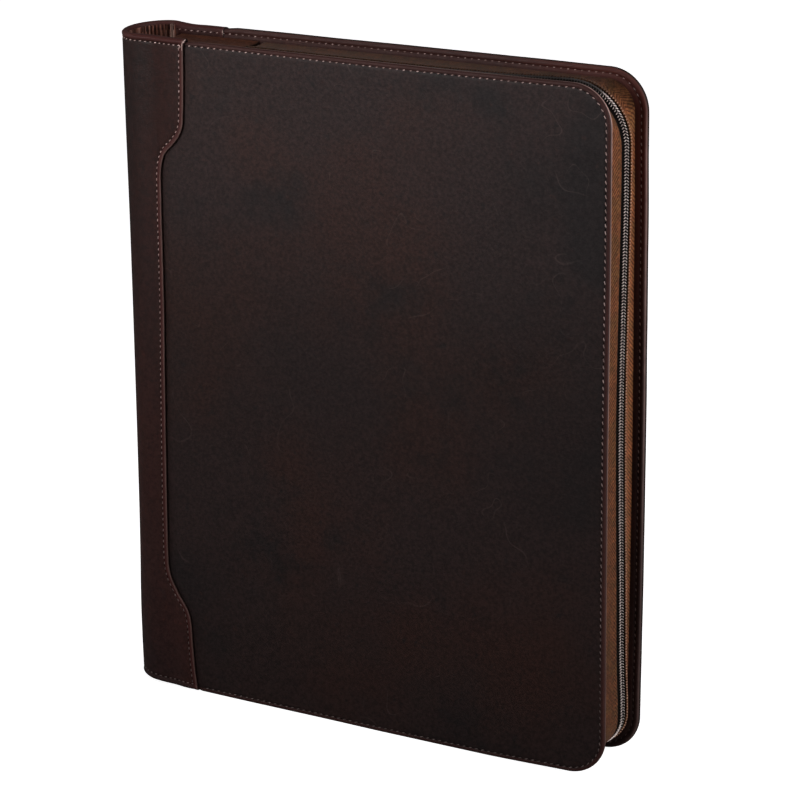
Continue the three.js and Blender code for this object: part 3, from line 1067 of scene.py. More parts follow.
@dataclass
class Cover:
    """One stiff cover: leather turned over a board, with rounded edges and stitch grooves.

    It is modelled flat, and then given its true shape and its measures of rubbing, dark edges and painted
    light and shade.
    """

    side: Side
    finishes: Finishes
    outer_round: float = 1.1 * MM
    inner_round: float = 1.6 * MM
    row_inset: float = 2.3 * MM
    inner_row_inset: float = 3.1 * MM
    groove_depth: float = 0.28 * MM
    groove_width: float = 1.3 * MM
    inner_groove_depth: float = 0.5 * MM
    tuck: float = 2.1 * MM
    top_pitch: float = 3.68 * MM
    side_pitch: float = 3.38 * MM
    foot_pitch: float = 3.5 * MM
    side_steps: int = 5
    corner_steps: int = 16
    round_steps: int = 4
    grid_pace: float = 8.0 * MM

    def build(self) -> None:
        """Models the cover and dresses it."""
        start, inset = CASE.cover_start, CASE.cover_thickness - self.inner_round
        depth = self.side.value * (CASE.half_depth - inset)
        low = Vector((start, depth, 0))
        high = Vector((CASE.zip_side, depth, CASE.height))
        piece = Workpiece.plate(f"{self.side.label}_cover_leather", low, high, self.side)
        piece.edit()
        piece.choose(lambda spot, _: spot.x > CASE.zip_side - MM, "VERT")
        bpy.ops.mesh.bevel(offset=CASE.corner_radius, segments=self.corner_steps, affect="VERTICES")
        bpy.ops.mesh.select_mode(type="FACE")
        bpy.ops.mesh.select_all(action="SELECT")
        straight = CASE.cover_thickness - self.inner_round - self.outer_round
        rise = self.side.value * straight / self.side_steps
        for _ in range(self.side_steps):
            bpy.ops.mesh.extrude_region_move(TRANSFORM_OT_translate={"value": (0, rise, 0)})
        self.relief(self.outer_round, self.row_inset, self.groove_depth)
        bpy.ops.mesh.select_all(action="SELECT")
        bpy.ops.mesh.normals_make_consistent(inside=False)
        piece.choose(lambda spot, normal: normal.y * self.side.value < -0.9)
        self.relief(self.inner_round, self.inner_row_inset, self.inner_groove_depth)
        piece.cut(0, self.upright_cuts())
        piece.cut(2, steps(self.grid_pace, CASE.height - self.grid_pace, 41))
        piece.done()
        piece.face_out()
        piece.shape(self.tucked)
        piece.mark(wear=self.wear, burnish=self.burnish, flush=self.flush)
        piece.shape(lambda spot: CASE.formed(self.side, spot.x, abs(spot.y), spot.z))
        piece.ripple(38 * MM, 0.35 * MM)
        piece.smooth(50)
        piece.dress(self.finishes.cover, Slot.COVER, f"{self.side.label}_cover")

    def relief(self, radius: float, row: float, groove: float) -> None:
        """Rounds the edge of the selected face, then sinks a groove for the stitches.

        Args:
            radius: Radius of the edge.
            row: Distance of the stitch row from the outline.
            groove: Depth of its groove.
        """
        angles = steps(0, math.pi / 2, self.round_steps)
        profile = [(radius * (1 - math.cos(a)), radius * math.sin(a)) for a in angles]
        half = self.groove_width / 2
        for share, fall in ((-1.0, 0.0), (-0.55, 0.5), (0.0, 1.0), (0.55, 0.6), (1.3, 0.1), (2.4, 0.0)):
            profile.append((row + share * half, radius - groove * fall))
        for (inset, height), (next_inset, next_height) in zip(profile, profile[1:]):
            bpy.ops.mesh.inset(thickness=next_inset - inset, depth=next_height - height)

    def upright_cuts(self) -> list[float]:
        """Places of the upright cuts: close together in the hinge valley, wider apart beyond it."""
        hinge_end = CASE.cover_start + CASE.hinge_dip_width
        valley = steps(CASE.cover_start + 6 * MM, hinge_end, 9)
        return valley + steps(hinge_end, CASE.zip_side - self.grid_pace, 29)[1:]

    def tucked(self, spot: Vector) -> Vector:
        """Tucks the ends in under the wrapped strip."""
        edge = CASE.strip_edge(spot.z)
        under = min(max((edge - 0.6 * MM - spot.x) / (1.2 * MM), 0.0), 1.0)
        room = min(spot.z, CASE.height - spot.z)
        tuck = under * self.tuck * max(1 - room / (8 * MM), 0.0)
        z = spot.z + tuck if spot.z < CASE.height / 2 else spot.z - tuck
        return Vector((spot.x, spot.y, z))

    def edge_measures(self, spot: Vector) -> tuple[float, float]:
        """A point's distance in from the outline and its depth below the outer face."""
        return CASE.outline_distance(spot.x, spot.z), CASE.half_depth - abs(spot.y)

    def wear(self, spot: Vector) -> float:
        """The light line along the edge, from rubbing and a painted highlight: on the front cover's side,
        on the back one's inner rounding.
        """
        inset, depth = self.edge_measures(spot)
        # Painted light: the line fades towards the foot.
        shade = 0.22 + 0.78 * ramp(spot.z, 60 * MM, 250 * MM)
        if self.side is Side.FRONT:
            # Painted highlight: weaker towards the spine, and up to twice as strong near the upper corner.
            shade *= 0.5 + 0.5 * ramp(spot.x, -70 * MM, 0)
            shade *= 1 + ramp(spot.z, 290 * MM, 330 * MM)
            near = max(1 - inset / (1.15 * MM), 0.0)
            fall = 1 - 0.9 * ramp(depth, 2.0 * MM, 2.6 * MM)
            return min(0.47 * shade * near * ramp(depth, 0.9 * MM, 1.35 * MM) * fall, 1.0)
        # Painted shade: the back cover's line fades near the top.
        shade *= 1 - 0.9 * ramp(spot.z, 300 * MM, 335 * MM)
        near = 1 - ramp(inset, 0.5 * MM, 1.2 * MM)
        return 0.43 * shade * near * ramp(depth, 1.9 * MM, 2.4 * MM)

    def burnish(self, spot: Vector) -> float:
        """The sides are darkened, partly a dyed dark edge and partly painted shade where they turn away
        from the light: the back cover's fully, the front cover's about half as much.
        """
        inset, depth = self.edge_measures(spot)
        near = min(1.5 * max(1 - inset / (1.5 * MM), 0.0), 1.0)
        if self.side is Side.FRONT:
            return 0.45 * near * ramp(depth, 0.1 * MM, 0.7 * MM)
        return 0.95 * near * (1 - ramp(depth, 1.9 * MM, 2.4 * MM))

    def flush(self, spot: Vector) -> float:
        """The folded leather between the stitches and the edge is redder, on the inside as well, where
        painted light makes it strongest near the upper zip-side corner and fades it towards the foot.
        """
        inset, depth = self.edge_measures(spot)
        if depth > CASE.cover_thickness / 2:
            # Painted light on the inner face: strongest near the upper zip-side corner.
            corner = ramp(spot.z, 200 * MM, 310 * MM) * (0.25 + 0.75 * ramp(spot.x, 60 * MM, 120 * MM))
            return (0.15 + 0.85 * corner) * (1 - ramp(inset, 5 * MM, 9 * MM))
        return 0.42 * (1 - ramp(inset, 1.2 * MM, 2.7 * MM))

    def stitch(self, rows: StitchRows) -> None:
        """Adds the cover's stitch rows, one on its outer and one on its inner face."""
        side = self.side
        hemmed = CASE.strip_half - SpineStrip.hem_depth_cover
        for inset, distance, outwards in (
            (self.row_inset, CASE.half_depth - self.groove_depth, 1),
            (self.inner_row_inset, CASE.half_depth - CASE.cover_thickness + self.inner_groove_depth, -1),
        ):
            start = CASE.strip_edge(CASE.height) + 0.8 * MM if outwards > 0 else CASE.cover_start + 1.4 * MM
            radius = CASE.corner_radius - inset
            way = zip_route(radius, radius, inset, start)
            line = []
            for station in way:
                on_hem = outwards < 0 and station.x < CASE.strip_edge(station.z)
                line.append(CASE.formed(side, station.x, hemmed if on_hem else distance, station.z))
            facing = [Vector((0, outwards * side.value, 0))] * len(way)
            for first, last, pitch, long in (
                (0, TOP_END, self.top_pitch, 0.68),
                (TOP_END, SIDE_END, self.side_pitch, 0.95),
                (SIDE_END, ROUTE_END, self.foot_pitch, 0.85),
            ):
                part = slice(first, last + 1)
                rows.row(line[part], facing[part], pitch, -side.value * outwards, long)


@dataclass
class SpineStrip:
    """The leather strip wrapped round the spine: shaped folded edges, hems at top and foot."""

    finishes: Finishes
    thickness: float = 1.1 * MM
    seam_inset: float = 2.5 * MM
    top_row: float = 3.2 * MM
    foot_row: float = 3.6 * MM
    groove_depth: float = 0.22 * MM
    top_proud: float = 0.5 * MM
    cover_drop: float = 0.35 * MM
    back_drop: float = 0.75 * MM
    hem_rise: float = 1.3 * MM
    hem_depth_spine: float = 2.8 * MM
    hem_depth_cover: float = 4.7 * MM
    hem_return: float = 3.4 * MM
    cover_return: float = 6.0 * MM
    fold_swell: float = 0.22 * MM
    foot_lift: float = 0.4 * MM
    spine_foot_lift: float = 2.4 * MM
    edge_zone: float = 4.2 * MM
    seam_pitch: float = 3.0 * MM
    hem_pitch: float = 2.85 * MM
    hem_turn: int = 8

    def edge_point(self, z: float, inset: float) -> tuple[float, float]:
        """A point of the strip's flat part, set in squarely from its shaped edge.

        Args:
            z: Height on the edge.
            inset: Distance from the edge.

        Returns:
            Its place along the case and its height.
        """
        pace = 0.5 * MM
        slope = (CASE.strip_edge(z + pace) - CASE.strip_edge(z - pace)) / (2 * pace)
        room = min(z, CASE.height - z)
        slope *= min(room / (12 * MM), 1.0)
        long = math.hypot(1, slope)
        return CASE.strip_edge(z) - inset / long, z + inset * slope / long

    def profile(self, measure: float, z: float) -> tuple[float, float, float]:
        """A point of the outer face, without its relief.

        Args:
            measure: From 0 on the edge: 1 at the end of the edge zone, 2 where the round begins
                and 3 on the spine's outermost line.
            z: Height.

        Returns:
            Its place along the case, its distance from the middle and its height.
        """
        if measure <= 1:
            x, height = self.edge_point(z, measure * self.edge_zone)
        elif measure <= 2:
            x, height = self.edge_point(z, self.edge_zone)
            x += (CASE.cover_start - x) * (measure - 1)
            height += (z - height) * (measure - 1)
        else:
            angle = (3 - measure) * math.pi / 2
            length = CASE.cover_start - CASE.spine_line(z)
            return CASE.cover_start - length * math.cos(angle), CASE.strip_half * math.sin(angle), z
        return x, CASE.strip_half - CASE.hinge_valley(x), height

    def facing(self, side: int, measure: float, z: float) -> Vector:
        """Direction of the outer face at a measure, on the front (-1) or the back (1)."""
        if measure <= 2:
            return Vector((0, side, 0))
        angle = (3 - measure) * math.pi / 2
        length = CASE.cover_start - CASE.spine_line(z)
        return Vector((-math.cos(angle) / length, side * math.sin(angle) / CASE.strip_half, 0)).normalized()

    def fall(self, measure: float, room: float, row: float) -> float:
        """How far the outer face lies below its full height, near an edge or a hem.

        Args:
            measure: Measure from the edge, as for profile.
            room: Distance from the nearer end of the strip.
            row: Distance of the stitch row from that end.

        Returns:
            The fall, negative where the fold swells.
        """
        inset = min(measure, 1.5) * self.edge_zone
        groove = bell(inset - self.seam_inset, 0.9 * MM) + bell(room - row, 1.1 * MM)
        swell = bell(inset - 0.7 * MM, 1.0 * MM) + bell(room - 1.2 * MM, 1.6 * MM)
        return self.groove_depth * min(groove, 1.0) - self.fold_swell * min(swell, 1.0)

    def place(self, column: float, row: float) -> Vector:
        """A point of the whole sheet, with the hems turned over both ends.

        Args:
            column: From -3 on the front edge over 0 on the spine's outermost line to 3 on the back
                edge.
            row: Height, running past 0 and the top into the turned hems.

        Returns:
            The point.
        """
        side = -1 if column < 0 else 1
        measure = 3 - abs(column)
        foot, top = self.hem_rise, CASE.height + self.top_proud - self.hem_rise
        z = min(max(row, foot), top)
        x, away, height = self.profile(measure, min(z, CASE.height))
        height = z + (height - min(z, CASE.height))
        room = min(row, CASE.height + self.top_proud - row)
        row_inset = self.top_row if row > CASE.height / 2 else self.foot_row
        normal = self.facing(side, measure, min(z, CASE.height))
        point = Vector((x, side * away, height)) - normal * self.fall(measure, room, row_inset)
        past = max(row - top, foot - row, 0.0)
        over_cover = min(max((x - CASE.cover_start + 0.5 * MM) / (1.5 * MM), 0.0), 1.0)
        drop = self.cover_drop if side < 0 else self.back_drop
        drop *= ramp(x, CASE.cover_start - 6 * MM, CASE.cover_start + 14 * MM)
        point.z -= drop * bell(CASE.height - z, 12 * MM)
        lift = self.foot_lift + (self.spine_foot_lift - self.foot_lift) * ramp(measure, 1.55, 2.45)
        point.z += lift * bell(z - foot, 16 * MM)
        if past > 0:
            depth = self.hem_depth_spine + (self.hem_depth_cover - self.hem_depth_spine) * over_cover
            way = 1 if row > top else -1
            turn_length = self.hem_rise * math.pi
            angle = min(past / turn_length, 1.0) * math.pi
            point -= normal * depth / 2 * (1 - math.cos(angle))
            point.z += way * self.hem_rise * math.sin(angle)
            back = self.hem_return + (self.cover_return - self.hem_return) * over_cover
            point.z -= way * max(past - turn_length, 0.0) * back / self.hem_return
        return point

    def columns(self) -> list[float]:
        """Columns from the back edge round the spine to the front edge."""
        edge = [0, 0.25, 0.55, 0.9, 1.3, 1.65, 2.0, 2.35, 2.7, 3.3, 4.2]
        half = [inset * MM / self.edge_zone for inset in edge]
        half += steps(1, 2, 12)[1:] + steps(2, 3, 16)[1:]
        back = [3 - measure for measure in half]
        return back + [-value for value in reversed(back[:-1])]

    def rows(self) -> list[float]:
        """Rows from the turned hem at the foot to the one at the top."""
        turn_length = self.hem_rise * math.pi
        past = [self.hem_return + turn_length, *steps(turn_length, 0, self.hem_turn)]
        foot, top = self.hem_rise, CASE.height + self.top_proud - self.hem_rise
        near = [0.4, 0.9, 1.3, 1.7, 2.1, 2.5, 2.9, 3.4, 4.4]
        lower = [foot - value for value in past] + [foot + value * MM for value in near]
        upper = [top - value * MM for value in reversed(near)] + [top + value for value in reversed(past)]
        middle = steps(foot + 6 * MM, top - 6 * MM, 132)
        return lower + middle + upper

    def wear(self, spot: Vector) -> float:
        """The folded edges carry a light line from rubbing and a painted highlight on their crest, kept off
        the painted shadow below it; the hems are lighter from rubbing.
        """
        hem = max(1 - (CASE.height + self.top_proud - spot.z) / (2.4 * MM), 0.0) * 0.12
        line = max(1 - abs(self.edge_inset(spot) - 0.2 * MM) / (0.75 * MM), 0.0)
        return max(0.85 * line * (1 - self.burnish(spot)), hem)

    def flush(self, spot: Vector) -> float:
        """The folded leather beside the seam and above the hem's stitches is redder."""
        seam = bell(self.edge_inset(spot) - 1.4 * MM, 1.3 * MM)
        hem = 1 - ramp(CASE.height + self.top_proud - spot.z, 1.6 * MM, 3.2 * MM)
        return 0.9 * max(seam, 0.8 * hem)

    def edge_inset(self, spot: Vector) -> float:
        """Distance inwards from the strip's shaped edge."""
        slope = (CASE.strip_edge(spot.z + MM) - CASE.strip_edge(spot.z - MM)) / (2 * MM)
        return (CASE.strip_edge(spot.z) - spot.x) / math.hypot(1, slope)

    def burnish(self, spot: Vector) -> float:
        """The lower part of the folded edge is dark, down in the shadow of the seam."""
        if self.edge_inset(spot) > 0.5 * MM:
            return 0.0
        depth = CASE.strip_half - CASE.hinge_valley(spot.x) - abs(spot.y)
        return min(max((depth - 0.3 * MM) / (0.35 * MM), 0.0), 1.0)

    def build(self) -> None:
        """Models the strip and dresses it."""
        piece = Workpiece.sheet("spine_wrap", self.columns(), self.rows(), self.place)
        piece.solidify(self.thickness)
        piece.round_edges(0.42 * MM, 3, 60)
        piece.mark(wear=self.wear, burnish=self.burnish, flush=self.flush)
        piece.smooth(60)
        piece.dress(self.finishes.spine, Slot.SPINE, "spine_strip")

    def stitch(self, rows: StitchRows) -> None:
        """Adds the seam rows along both shaped edges and the hem rows round the spine."""
        measure = self.seam_inset / self.edge_zone
        heights = steps(self.foot_row, CASE.height - self.top_row, 150)
        for side in Side:
            spots = [self.place(side.value * (3 - measure), z) for z in heights]
            facing = [Vector((0, side.value, 0))] * len(spots)
            rows.row(spots, facing, self.seam_pitch, 0.25 * side.value, 0.68)
        for z in (self.foot_row, CASE.height + self.top_proud - self.top_row):
            columns = [share - 3 for share in steps(0.3, 3, 60)]
            columns += [3 - share for share in steps(3, 0.3, 60)[1:]]
            spots = [self.place(column, z) for column in columns]
            facing = [self.facing(-1 if column < 0 else 1, 3 - abs(column), z) for column in columns]
            rows.row(spots, facing, self.hem_pitch, 0.6, 0.6)
        self.back_tacks(rows)

    def back_tacks(self, rows: StitchRows) -> None:
        """Adds the crossing stitches that lock the seam at the top: four in front, one inside the back."""
        z = CASE.height + self.top_proud - self.hem_rise
        out = Vector((0, -1, 0))
        for inset, rise, lean, long, proud in (
            (0.3, 2.2, 0.08, 4.6, 0.2),
            (-0.9, -0.5, 0.75, 2.8, 0.1678),
            (1.6, 2.2, -0.8, 2.6, 0.2),
            (1.9, 3.0, 0.8, 2.2, 0.2),
        ):
            spot = self.place(-3 + inset * MM / self.edge_zone, z - rise * MM)
            along = Vector((math.sin(lean), 0, math.cos(lean)))
            rows.lone(spot + out * proud * MM, along, out, long * MM)
        inside = self.place(3 - 0.6 * MM / self.edge_zone, z + self.hem_rise * math.pi + 0.6 * MM)
        rows.lone(inside + out * 0.2 * MM, Vector((0, 0, 1)), out, 2.6 * MM)


@dataclass
class SpineLining:
    """The pleated inner leather of the spine."""

    finishes: Finishes
    wall: float = 1.3 * MM
    thickness: float = 0.9 * MM
    pleat_depth: float = 0.8 * MM
    top_pleat_depth: float = 1.9 * MM
    gather: float = 16 * MM
    pleats: int = 11

    def pleat(self, turn: float, z: float) -> float:
        """How far a pleat stands out at a turn and a height, as a share from 0 to 1."""
        wander = 0.35 * math.sin(turn * 9 + z * 60) + 0.2 * math.sin(turn * 23 + z * 25)
        wave = (0.5 - 0.5 * math.cos(2 * math.pi * self.pleats * turn + wander)) ** 2
        return wave * (0.7 + 0.3 * math.sin(turn * 17 + 1))

    def place(self, turn: float, z: float) -> Vector:
        """A point of the inner face at a turn from the front (-1) over the spine to the back (1)."""
        angle = turn * math.pi / 2
        start = CASE.cover_start - 0.3 * MM
        length = start - CASE.spine_line(z) - 1.5 * MM
        near_top = min(max(1 - (CASE.height - z) / self.gather, 0.0), 1.0) ** 2
        depth = self.pleat_depth + (self.top_pleat_depth - self.pleat_depth) * near_top
        wall = self.wall + depth * self.pleat(turn, z)
        x = start - (length - wall) * math.cos(angle)
        return Vector((x, (CASE.half_depth - wall) * math.sin(angle), z))

    def turn_at(self, spot: Vector) -> float:
        """The turn that a point of the lining lies at."""
        along = (CASE.cover_start - spot.x) / (CASE.cover_start - CASE.spine_side)
        return math.atan2(spot.y / CASE.half_depth, along) / (math.pi / 2)

    def wear(self, spot: Vector) -> float:
        """The tops of the pleats are lighter from rubbing and a painted highlight on the ridges, with the
        strongest painted highlight on the last one before each cover.
        """
        turn = self.turn_at(spot)
        last = 0.7 * bell(abs(turn) - 0.9, 0.08)
        return max(0.45 * self.pleat(turn, spot.z) ** 3, last)

    def burnish(self, spot: Vector) -> float:
        """The valleys between the pleats are darkened with painted shade."""
        return 0.85 * (1 - self.pleat(self.turn_at(spot), spot.z)) ** 3

    def build(self) -> None:
        """Models the lining and dresses it."""
        columns = steps(-1, 1, self.pleats * 16)
        rows = steps(1.6 * MM, CASE.height - 1.4 * MM, 90)
        piece = Workpiece.sheet("spine_pleats", columns, rows, self.place)
        piece.solidify(self.thickness)
        piece.mark(wear=self.wear, burnish=self.burnish)
        piece.smooth(60)
        piece.dress(self.finishes.pleated, Slot.INNER, "spine_lining")


@dataclass
class GussetEnd:
    """A leather end of the gusset, between the spine and the zip."""

    upper: bool
    finishes: Finishes
    thickness: float = 1.3 * MM
    sag: float = 0.35 * MM
    gap: float = 0.5 * MM

    def place(self, x: float, share: float) -> Vector:
        """A point of the outer face at a place along the case and a share of its half width."""
        half = CASE.cover_inside(x) - 0.2 * MM
        start, end = CASE.gusset_start, CASE.zip_start
        dip = self.sag * (1 - share * share) * (0.6 + 0.4 * math.sin((x - start) * 140))
        curl = 1.4 * MM * bell(x - start, 3 * MM) + 0.7 * MM * bell(x - end, 1.4 * MM)
        rise = CASE.gusset_top - dip - curl + 0.5 * MM * share ** 4
        return Vector((x, share * half, rise if self.upper else CASE.height - rise))

    def burnish(self, spot: Vector) -> float:
        """The cut end beside the zip is dark."""
        return max(1 - (CASE.zip_start - self.gap - spot.x) / (1.3 * MM), 0.0)

    def build(self) -> None:
        """Models the gusset end and dresses it."""
        where = "top" if self.upper else "bottom"
        columns = steps(CASE.gusset_start, CASE.zip_start - self.gap, 40)
        piece = Workpiece.sheet(f"gusset_{where}_leather", columns, steps(-1, 1, 16), self.place)
        piece.solidify(self.thickness, -1.0 if self.upper else 1.0)
        piece.round_edges(0.4 * MM, 3)
        piece.mark(burnish=self.burnish)
        piece.smooth(60)
        piece.face_out()
        piece.dress(self.finishes.inner, Slot.INNER, f"gusset_end_{where}")


@dataclass
class ZipTape:
    """One woven tape, from its cover to the chain, with a folded edge along the chain."""

    side: Side
    finishes: Finishes
    thickness: float = 0.55 * MM
    fold: float = 0.6 * MM
    chain_room: float = 4.4 * MM
    front_room: float = 0.6 * MM
    back_inset: float = 0.9 * MM
    sag: float = 0.5 * MM
    lip: float = 0.55 * MM
    dip: float = 1.5 * MM
    dip_length: float = 1.8 * MM

    def place(self, station: float, share: float) -> Vector:
        """A point of the outer face.

        Args:
            station: Index of the station on the route.
            share: 0 on the cover, 1 on the chain's side, and on to 2 round the folded edge.

        Returns:
            The point.
        """
        index = round(station)
        cover, chain, way = TAPE_ROUTE[index], CHAIN_ROUTE[index], CHAIN_WAY[index]
        bowed = CASE.swell(self.side, cover.x, cover.z)
        start = self.side.value * (CASE.cover_inside(cover.x) + bowed - 0.1 * MM)
        gap = self.chain_room + self.fold + (self.front_room if self.side is Side.FRONT else 0.0)
        end = chain_middle(chain.x, way) + self.side.value * gap
        across = min(share, 1.0)
        angle = max(share - 1, 0.0) * math.pi * 0.8
        out = -self.sag * math.sin(math.pi * across) - self.fold * (1 - math.cos(angle))
        out += self.lip * across ** 6 * (0.2 if self.side is Side.FRONT else 1.0)
        from_end = min(way, CHAIN_WAY[-1] - way)
        out -= self.dip * bell(from_end, self.dip_length)
        if self.side is Side.BACK:
            out -= self.back_inset * (1 - across) * cover.out_x

        def between(first: float, last: float) -> float:
            """A value on the way from the cover to the chain."""
            return first + (last - first) * across

        x = between(cover.x, chain.x) + between(cover.out_x, chain.out_x) * out
        z = between(cover.z, chain.z) + between(cover.out_z, chain.out_z) * out
        y = between(start, end) - self.side.value * self.fold * math.sin(angle)
        return Vector((x, y, z))

    def build(self) -> None:
        """Models the tape and dresses it."""
        shares = steps(0, 0.85, 8) + steps(0.85, 1, 4)[1:] + steps(1, 2, 6)[1:]
        if self.side is Side.FRONT:
            shares = shares[::-1]
        stations = [float(index) for index in range(len(TAPE_ROUTE))]
        name = f"zip_tape_{self.side.label}"
        piece = Workpiece.sheet(f"{name}_twill", shares, stations, lambda share, s: self.place(s, share),
                                shares.index(1.0))
        # How much the fold is lightened: rubbing and a painted highlight.
        rubbed_and_lit = [bell(share - 1.05, 0.16) for share in shares]
        stored = [rubbed_and_lit[index % len(shares)] for index in range(len(piece.body.data.vertices))]
        layer = piece.body.data.attributes.new("wear", "FLOAT", "POINT")
        layer.data.foreach_set("value", stored)
        piece.solidify(self.thickness, -1.0)
        piece.smooth(60)
        piece.face_out()
        twill = self.finishes.tape_front if self.side is Side.FRONT else self.finishes.tape_back
        piece.dress(twill, Slot.TAPE, name)


@dataclass
class ZipChain:
    """The closed coil chain: two rows of slanted teeth on a dark core, with the thread that sews it on."""

    finishes: Finishes
    pitch: float = 1.475 * MM
    tooth_length: float = 2.1 * MM
    tooth_width: float = 0.41 * MM
    tooth_height: float = 0.85 * MM
    row_offset: float = 1.35 * MM
    front_lean: float = math.radians(17)
    back_lean: float = math.radians(-38)
    loop_offset: float = 4.2 * MM
    loop_width: float = 0.84 * MM
    loop_length: float = 1.44 * MM
    core_half: float = 5.6 * MM

    def spots(self, across: float, out: float, start: float, lean: float) -> list[Matrix]:
        """Spots at the teeth's pitch along the chain.

        Args:
            across: Distance from the chain's middle towards the back.
            out: Distance outwards from the route.
            start: Share of a pitch before the first spot.
            lean: Angle by which each is turned in the chain's face.

        Returns:
            One matrix for each spot.
        """
        ways = steps(0, CHAIN_WAY[-1], 700)
        line = [on_chain(way, out, across) for way in ways]
        facing = [on_chain(way, out + MM, across) - on_chain(way, out, across) for way in ways]
        return along_row(line, facing, self.pitch, start, lean)

    def build(self) -> None:
        """Models the core, the two rows of teeth and the sewing, and dresses them."""
        self.build_core()
        for side in Side:
            self.build_teeth(side)
        self.build_sewing()

    def build_core(self) -> None:
        """The dark woven core under the teeth, near-black partly as painted shadow between the teeth and
        the tapes.
        """
        half = self.core_half
        ways = steps(0, CHAIN_WAY[-1], 360)

        def place(across: float, way: float) -> Vector:
            """A point of the core's outer face."""
            return on_chain(way, -0.95 * MM + 0.45 * MM * bell(across, half), across)

        piece = Workpiece.sheet("zip_chain_core", steps(half, -half, 6), ways, place)
        piece.solidify(0.9 * MM, -1.0)
        piece.smooth(60)
        piece.face_out()
        piece.dress(self.finishes.core, Slot.TEETH, "zip_chain")

    def tooth_pattern(self) -> Workpiece:
        """One loop of the coil round the origin, lying across the chain."""
        piece = Workpiece.ball("tooth", 6, (math.pi / 2, 0, 0))
        long, wide, high = self.tooth_length / 2, self.tooth_width / 2, self.tooth_height / 2

        def fuller(value: float) -> float:
            """Pushes a point of the ball outwards, for blunter ends."""
            return math.copysign(abs(value) ** 0.75, value)

        piece.shape(lambda p: Vector((p.x * wide, fuller(p.y) * long, p.z * high)))
        return piece

    def build_teeth(self, side: Side) -> None:
        """One row of teeth, half a pitch off from the other one."""
        start = 0.25 if side is Side.FRONT else 0.75
        lean = self.front_lean if side is Side.FRONT else self.back_lean
        spots = self.spots(side.value * self.row_offset, 0.1 * MM, start, lean)
        piece = scattered(f"zip_teeth_{side.label}", self.tooth_pattern(), spots)
        piece.smooth(80)
        piece.dress(self.finishes.coil, Slot.TEETH)

    def build_sewing(self) -> None:
        """The thread that sews the coil to the back tape, as small light loops along its fold."""
        spots = self.spots(self.loop_offset, 0.4 * MM, 0.5, 0.0)
        pattern = Workpiece.ball("loop", 5)
        thick, long = self.loop_width / 2, self.loop_length / 2
        pattern.shape(lambda p: Vector((p.x * thick, p.y * long, p.z * thick)))
        piece = scattered("zip_sewing_loops", pattern, spots)
        piece.smooth(80)
        piece.dress(self.finishes.sewing, Slot.TAPE)


@dataclass
class ZipSlider:
    """The slider and its pull, in the recess of the bottom edge."""

    finishes: Finishes
    body_size: Triple = (10.5 * MM, 7.6 * MM, 1.9 * MM)
    pull_size: Triple = (22 * MM, 5.4 * MM, 1.0 * MM)
    bridge_size: Triple = (6.5 * MM, 1.8 * MM, 1.5 * MM)

    def build(self) -> None:
        """Models the slider's body, its pull and the bridge that holds the pull, and dresses them."""
        low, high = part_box("zip_slider")
        middle = (low.y + high.y) / 2
        body, pull, bridge = Vector(self.body_size), Vector(self.pull_size), Vector(self.bridge_size)
        for name, place, size, nodes in (
            ("zip_slider_body", (low.x + body.x / 2, middle, high.z - body.z / 2), body, ["zip_slider"]),
            ("zip_pull", (high.x - pull.x / 2, middle, low.z + pull.z / 2), pull, []),
            ("zip_slider_bridge", (low.x + body.x * 0.8, middle, low.z + 1.0 * MM), bridge, []),
        ):
            self.block(name, Vector(place), size).dress(self.finishes.metal, Slot.METAL, *nodes)

    @staticmethod
    def block(name: str, middle: Vector, size: Vector) -> Workpiece:
        """A rounded, waisted block of metal.

        Args:
            name: The piece's name.
            middle: Its middle.
            size: Its three sizes.

        Returns:
            The block as a workpiece.
        """
        Workpiece.clear()
        bpy.ops.mesh.primitive_cube_add(size=1, location=middle)
        piece = Workpiece(name)
        piece.body.scale = size
        piece.settle()
        piece.edit()
        piece.cut(0, steps(middle.x - size.x * 0.4, middle.x + size.x * 0.4, 8))
        piece.done()

        def waisted(spot: Vector) -> Vector:
            """Narrows the block towards its middle."""
            share = (spot.x - middle.x) / size.x * 2
            narrow = 1 - 0.14 * bell(share, 0.9)
            return Vector((spot.x, middle.y + (spot.y - middle.y) * narrow, spot.z))

        piece.shape(waisted)
        piece.round_edges(min(size) * 0.3, 3, 40)
        piece.smooth(50)
        piece.face_out()
        return piece


